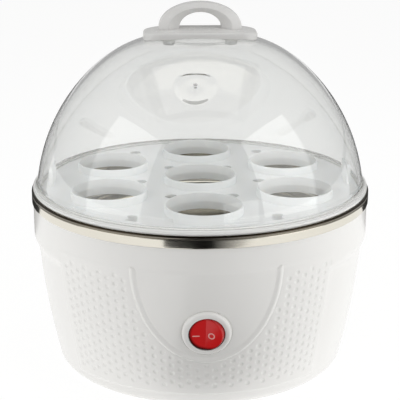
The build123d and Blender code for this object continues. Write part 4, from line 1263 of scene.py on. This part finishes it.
        # Vent boss: rings in a block of the outer face, through to the like block of the inner one
        centre_tilt = math.radians(self.boss_angle)
        boss_rows = np.flatnonzero(np.abs(tilt - centre_tilt) * self.arc_radius < self.boss_room)
        boss_reach = float(self.meridian(np.array([centre_tilt]), 0.0)[0, 0])
        boss_columns = np.flatnonzero(np.abs(angles) * boss_reach < self.boss_room)
        inner_first = len(outline) - 1 - boss_rows[-1]
        outer_rim, inner_rim, row, column = open_wall(
            rows, keep, boss_rows[0], inner_first, boss_columns, len(boss_rows) - 1)
        spread = np.arctan2((tilt[boss_rows[0] + row] - centre_tilt) * self.arc_radius,
                            angles[column] * boss_reach)
        rings = [*self.boss_rings, *((radius, -self.wall) for radius in self.boss_inner_rings)]
        loops = [skin.add(self.boss_ring(spread, radius, lift)) for radius, lift in rings]
        skin.stitch([outer_rim, *loops, inner_rim])
        skin.grid(rows, wrap_columns=True, keep=keep)
        dome = skin.piece("lid_dome_clear", FINISHES["clear_lid"], "lid", ["lid_dome"],
                          self.dome_crease)
        # Light reaches what is under the lid, as it does through clear plastic
        dome.visible_shadow = False
        self.build_handle()

    def boss_ring(self, spread: Array, radius: float, lift: float) -> Array:
        """Circle about the vent boss's middle, laid along the dome's skin.

        Args:
            spread: Angles round the boss's middle.
            radius: The circle's radius.
            lift: Its height above the dome's outer face.

        Returns:
            Points of the circle.
        """
        tilt = math.radians(self.boss_angle) + radius * np.sin(spread) / self.arc_radius
        turn = math.radians(self.boss_turn) + radius * np.cos(spread) / self.meridian(tilt, 0.0)[:, 0]
        skin = self.meridian(tilt, lift)
        return around(skin[:, 0], turn, skin[:, 1])

    def crown(self, x: Array, y: Array, lift: Array) -> Array:
        """Points over the crown at x and y, on the sphere that lies a lift above it."""
        rise = np.sqrt((self.crown_radius + lift) ** 2 - x ** 2 - y ** 2)
        return np.stack((x, y, self.crown_height - self.crown_radius + rise), axis=-1)

    def build_handle(self) -> None:
        """Saddle plate and loop.

        The plate's rows are its plan outline, shrunk or moved in along its normal, and raised by a lift over
        the crown. The loop's rows are its section, spread between an inner and an outer half ellipse.
        """
        half_width = self.plate_width / 2
        half_depth = self.plate_depth / 2
        plan = rounded_outline([
            (half_width, -half_depth, self.plate_corner),
            (half_width, half_depth, self.plate_corner),
            (-half_width, half_depth, self.plate_corner),
            (-half_width, -half_depth, self.plate_corner),
        ], steps=self.plate_corner_steps, closed=True)
        run = np.roll(plan, -1, 0) - np.roll(plan, 1, 0)
        out = np.stack((run[:, 1], -run[:, 0]), axis=-1)
        out /= np.linalg.norm(out, axis=1, keepdims=True)
        under = self.plate_gap
        top = under + self.plate_thickness
        bend = np.radians(np.linspace(0, 90, self.plate_round_points))
        small = self.plate_under_round
        large = self.plate_round
        rings = [(plan * share, under) for share in self.under_shares]
        for a in bend:
            rings.append((plan - out * (small - small * math.sin(a)), under + small - small * math.cos(a)))
        for a in bend:
            rings.append((plan - out * (large - large * math.cos(a)), top - large + large * math.sin(a)))
        rings += [(plan * share, top) for share in self.top_shares]
        skin = Skin()
        middle = np.zeros(2)
        skin.tube(np.stack([self.crown(*ring.T, lift) for ring, lift in rings]),
                  self.crown(middle, middle, np.array((under, top))))

        section = rounded_outline(self.loop_section, steps=self.loop_corner_steps, closed=True)
        share = section[:, 0] / max(corner[0] for corner in self.loop_section)
        wide, tall = (
            inner + share * (outer - inner) for inner, outer in zip(self.loop_inner, self.loop_outer)
        )
        t = np.linspace(0, math.pi, self.loop_points)[:, None]
        height = self.crown_height + top + tall * np.sin(t)
        arch = np.stack(np.broadcast_arrays(wide * np.cos(t), section[:, 1], height), axis=-1)
        sunk = np.array((0.0, 0.0, -self.plate_thickness * self.loop_sink))
        skin.tube(np.concatenate((arch[:1] + sunk, arch, arch[-1:] + sunk)))
        skin.piece("lid_handle_moulded", HANDLE_FINISH, "lid", ["lid_handle"],
                   self.handle_crease)


@dataclass
class RockerMarks:
    """Pale bar and ring printed on the rocker's two halves."""

    valley: float = 2.9
    rise: float = 1.5
    half_length: float = 8.8
    bar_place: float = -4.5
    bar_drop: float = 0.85
    bar_half_length: float = 1.75
    bar_points: int = 21
    bar_end_power: int = 12
    ring_place: float = 2.7
    ring_drop: float = 0.5
    ring_radius: float = 1.35
    ring_points: int = 48
    line_half_width: float = 0.26
    line_points: int = 12
    proud: float = 0.06

    def on_half(self, along: Array, across: Array, lift: Array, side: float) -> Array:
        """Points on one half of the rocker's face, which slopes up from the valley in the middle.

        Args:
            along: Distances along the half, from the valley.
            across: Distances across it.
            lift: Heights above it.
            side: One for the right half, minus one for the left.

        Returns:
            Points of the whole object.
        """
        slope = math.atan2(self.rise, self.half_length)
        x = along * math.cos(slope) - lift * math.sin(slope) * side
        rise = self.valley + abs(along) * math.sin(slope) + lift * math.cos(slope)
        return SWITCH.rocked(x, across, rise)

    def build(self) -> None:
        """Make both marks as low rounded strips.

        An elliptic section is carried round a circle, and along a line at whose ends it shrinks to nothing.
        """
        turn = np.linspace(0, 2 * math.pi, self.line_points, endpoint=False)
        wide = self.line_half_width * np.cos(turn)
        lift = self.proud * np.sin(turn)
        t = np.linspace(0, 2 * math.pi, self.ring_points, endpoint=False)[:, None]
        out = self.ring_radius + wide
        skin = Skin()
        ring = self.on_half(self.ring_place + out * np.cos(t), out * np.sin(t) - self.ring_drop, lift, 1.0)
        skin.grid(skin.add(ring), wrap_rows=True, wrap_columns=True)
        skin.piece("rocker_mark_off", MARK_FINISH, "switch_rocker")
        along = np.linspace(-1, 1, self.bar_points)[:, None]
        size = np.sqrt(np.clip(1 - np.abs(along) ** self.bar_end_power, 0, 1))
        skin = Skin()
        bar = self.on_half(self.bar_place + self.bar_half_length * along, size * wide - self.bar_drop,
                           size * lift, -1.0)
        skin.grid(skin.add(bar), wrap_columns=True)
        skin.piece("rocker_mark_on", MARK_FINISH, "switch_rocker")


def dress_frame() -> None:
    """Give each CAD node the finish of its material slot."""
    slots = {part["node"]: part["material_slot"] for part in frame["record"]["subparts"]}
    for name, node in frame["nodes"].items():
        finish = FINISHES[slots[name]].material()
        if not node.material_slots:
            node.data.materials.append(finish)
        for holder in node.material_slots:
            holder.material = finish
        LOG.info("%s: %s", name, finish.name)


# Table, cards, lights and camera

@dataclass(frozen=True)
class SoftBox:
    """Area light aimed at the object, which reflections show where it is mirrored.

    Its place and size are in millimetres and its power is in watts.
    """

    name: str
    place: tuple
    width: float
    depth: float
    power: float
    mirrored: bool


# One light to each side towards the front, and two that reflections don't show, overhead and in front
SOFT_BOXES = (
    SoftBox("left_light", (-660, -360, 300), 620, 900, 1.85, mirrored=True),
    SoftBox("right_light", (660, -380, 300), 620, 900, 2.25, mirrored=True),
    SoftBox("top_light", (0, 0, 900), 700, 700, 1.6, mirrored=False),
    SoftBox("front_light", (300, -660, 50), 300, 300, 0.55, mirrored=False),
)


@dataclass
class Studio:
    """White table, soft white surroundings with a dark side at the front, and the camera."""

    camera_distance: float = 620.0
    camera_pitch: float = 17.1
    camera_turn: float = -2.2
    aim_height: float = 81.0
    focal_pixels: float = 1212.0
    frame_pixels: float = 400.0
    sensor: float = 36.0
    tent_strength: float = 0.47
    floor_glow: float = 0.88
    # Level pieces as left, right, front, back and height
    floor: tuple = (-6000.0, 6000.0, -6000.0, 6000.0, 0.0)
    front_mat: tuple = (-28.0, 420.0, -300.0, -88.0, 1.0)
    top_card: tuple = (-300.0, 300.0, -300.0, 300.0, 620.0)
    # Upright pieces as left, right, place from front to back and height
    front_card: tuple = (-125.0, 420.0, -300.0, 420.0)
    back_card: tuple = (-285.0, 400.0, 180.0, 130.0)
    # Where the dark cloth of the front card and of the front mat starts to fade, and where it ends
    card_fade: tuple = (25.0, 190.0)
    mat_fade: tuple = (-10.0, 95.0)

    def build(self) -> None:
        """Make the floor, the surroundings, the lights and the camera."""
        self.build_floor()
        self.build_world()
        self.build_cards()
        self.build_lights()
        self.build_camera()
        bpy.context.scene.view_settings.view_transform = "Standard"

    def level(self, left: float, right: float, front: float, back: float, height: float) -> list[tuple]:
        """Corners of a level rectangle."""
        return [(left, front, height), (right, front, height), (right, back, height), (left, back, height)]

    def upright(self, left: float, right: float, place: float, height: float) -> list[tuple]:
        """Corners of a rectangle that stands on the floor and faces the front."""
        return [(left, place, 0), (right, place, 0), (right, place, height), (left, place, height)]

    def stage_plane(self, name: str, corners: list[tuple], material: bpy.types.Material) -> bpy.types.Object:
        """Flat stage piece with four corners in millimetres.

        Args:
            name: Its name.
            corners: Four corners in order.
            material: Its material.

        Returns:
            The new object.
        """
        mesh = bpy.data.meshes.new(name)
        mesh.from_pydata((np.array(corners) * MM).tolist(), [], [(0, 1, 2, 3)])
        mesh.materials.append(material)
        made = linked(name, mesh)
        return made

    def build_floor(self) -> None:
        """Plain white floor that shines a little, as a lit sweep does."""
        material = shaded("white_sweep", {
            "Base Color": linear("#6F6F6E"),
            "Roughness": 0.9,
            "Specular IOR Level": 0.0,
            "Emission Color": linear("#FFFFFF"),
            "Emission Strength": self.floor_glow,
        })
        self.stage_plane("floor", self.level(*self.floor), material)

    def build_world(self) -> None:
        """Even white surroundings."""
        world = bpy.data.worlds.new("white_tent")
        world.use_nodes = True
        shade = world.node_tree.nodes["Background"]
        shade.inputs["Color"].default_value = linear("#FFFFFF")
        shade.inputs["Strength"].default_value = self.tent_strength
        bpy.context.scene.world = world

    def fading_dark(self, name: str, start: float, end: float) -> bpy.types.Material:
        """Dark cloth that fades out to the right between two distances from the middle.

        Args:
            name: Its name.
            start: Where it starts to fade, in millimetres along X.
            end: Where nothing of it is left.

        Returns:
            The material.
        """
        material = shaded(name, {})
        tree = material.node_tree
        tree.nodes.clear()
        place = add_node(tree, "TexCoord").outputs["Object"]
        side = add_node(tree, "SeparateXYZ", {0: place}).outputs[0]
        fade = add_node(tree, "MapRange", {0: side, 1: start * MM, 2: end * MM}).outputs[0]
        dark = add_node(tree, "BsdfDiffuse", {0: linear("#0B0B0A")}).outputs[0]
        clear = add_node(tree, "BsdfTransparent").outputs[0]
        mixed = add_node(tree, "MixShader", {0: fade, 1: dark, 2: clear}).outputs[0]
        add_node(tree, "OutputMaterial", {0: mixed})
        return material

    def build_cards(self) -> None:
        """Dark cards that only reflections and shade show: in front, behind and overhead."""
        cloth = self.fading_dark("dark_card", *self.card_fade)
        mat = self.fading_dark("dark_mat", *self.mat_fade)
        board = shaded("dark_board", {"Base Color": linear("#1C1C1C"), "Roughness": 0.9})
        for name, corners, cover in (
            ("front_card", self.upright(*self.front_card), cloth),
            ("front_mat", self.level(*self.front_mat), mat),
            ("back_card", self.upright(*self.back_card), board),
            ("top_card", self.level(*self.top_card), board),
        ):
            card = self.stage_plane(name, corners, cover)
            card.visible_camera = False
            card.visible_transmission = False
            card.visible_diffuse = cover is not board
            card.visible_shadow = False

    def build_lights(self) -> None:
        """Make the soft boxes."""
        for box in SOFT_BOXES:
            light = bpy.data.lights.new(box.name, "AREA")
            light.shape = "RECTANGLE"
            light.energy = box.power
            light.size = box.width * MM
            light.size_y = box.depth * MM
            made = linked(box.name, light)
            made.location = Vector(box.place) * MM
            aim = Vector((0, 0, self.aim_height)) * MM - made.location
            made.rotation_euler = aim.to_track_quat("-Z", "Y").to_euler()
            made.visible_glossy = box.mirrored

    def build_camera(self) -> None:
        """Camera at the photograph's distance, pitch and turn, with its focal length."""
        camera = bpy.data.cameras.new("camera")
        camera.sensor_width = self.sensor
        camera.lens = self.focal_pixels * self.sensor / self.frame_pixels
        made = linked("camera", camera)
        pitch = math.radians(self.camera_pitch)
        turn = math.radians(self.camera_turn)
        aim = Vector((0, 0, self.aim_height))
        flat = math.cos(pitch)
        away = Vector((math.sin(turn) * flat, -math.cos(turn) * flat, math.sin(pitch)))
        made.location = (aim + away * self.camera_distance) * MM
        made.rotation_euler = (-away).to_track_quat("-Z", "Y").to_euler()
        bpy.context.scene.camera = made


def main() -> None:
    """Dress the frame, and build the new pieces and the studio."""
    logging.basicConfig(level=logging.INFO, format="%(name)s: %(message)s")
    dress_frame()
    BaseShell().build()
    HeatingDish().build()
    Lid().build()
    RockerMarks().build()
    Studio().build()


if __name__ == "__main__":
    main()
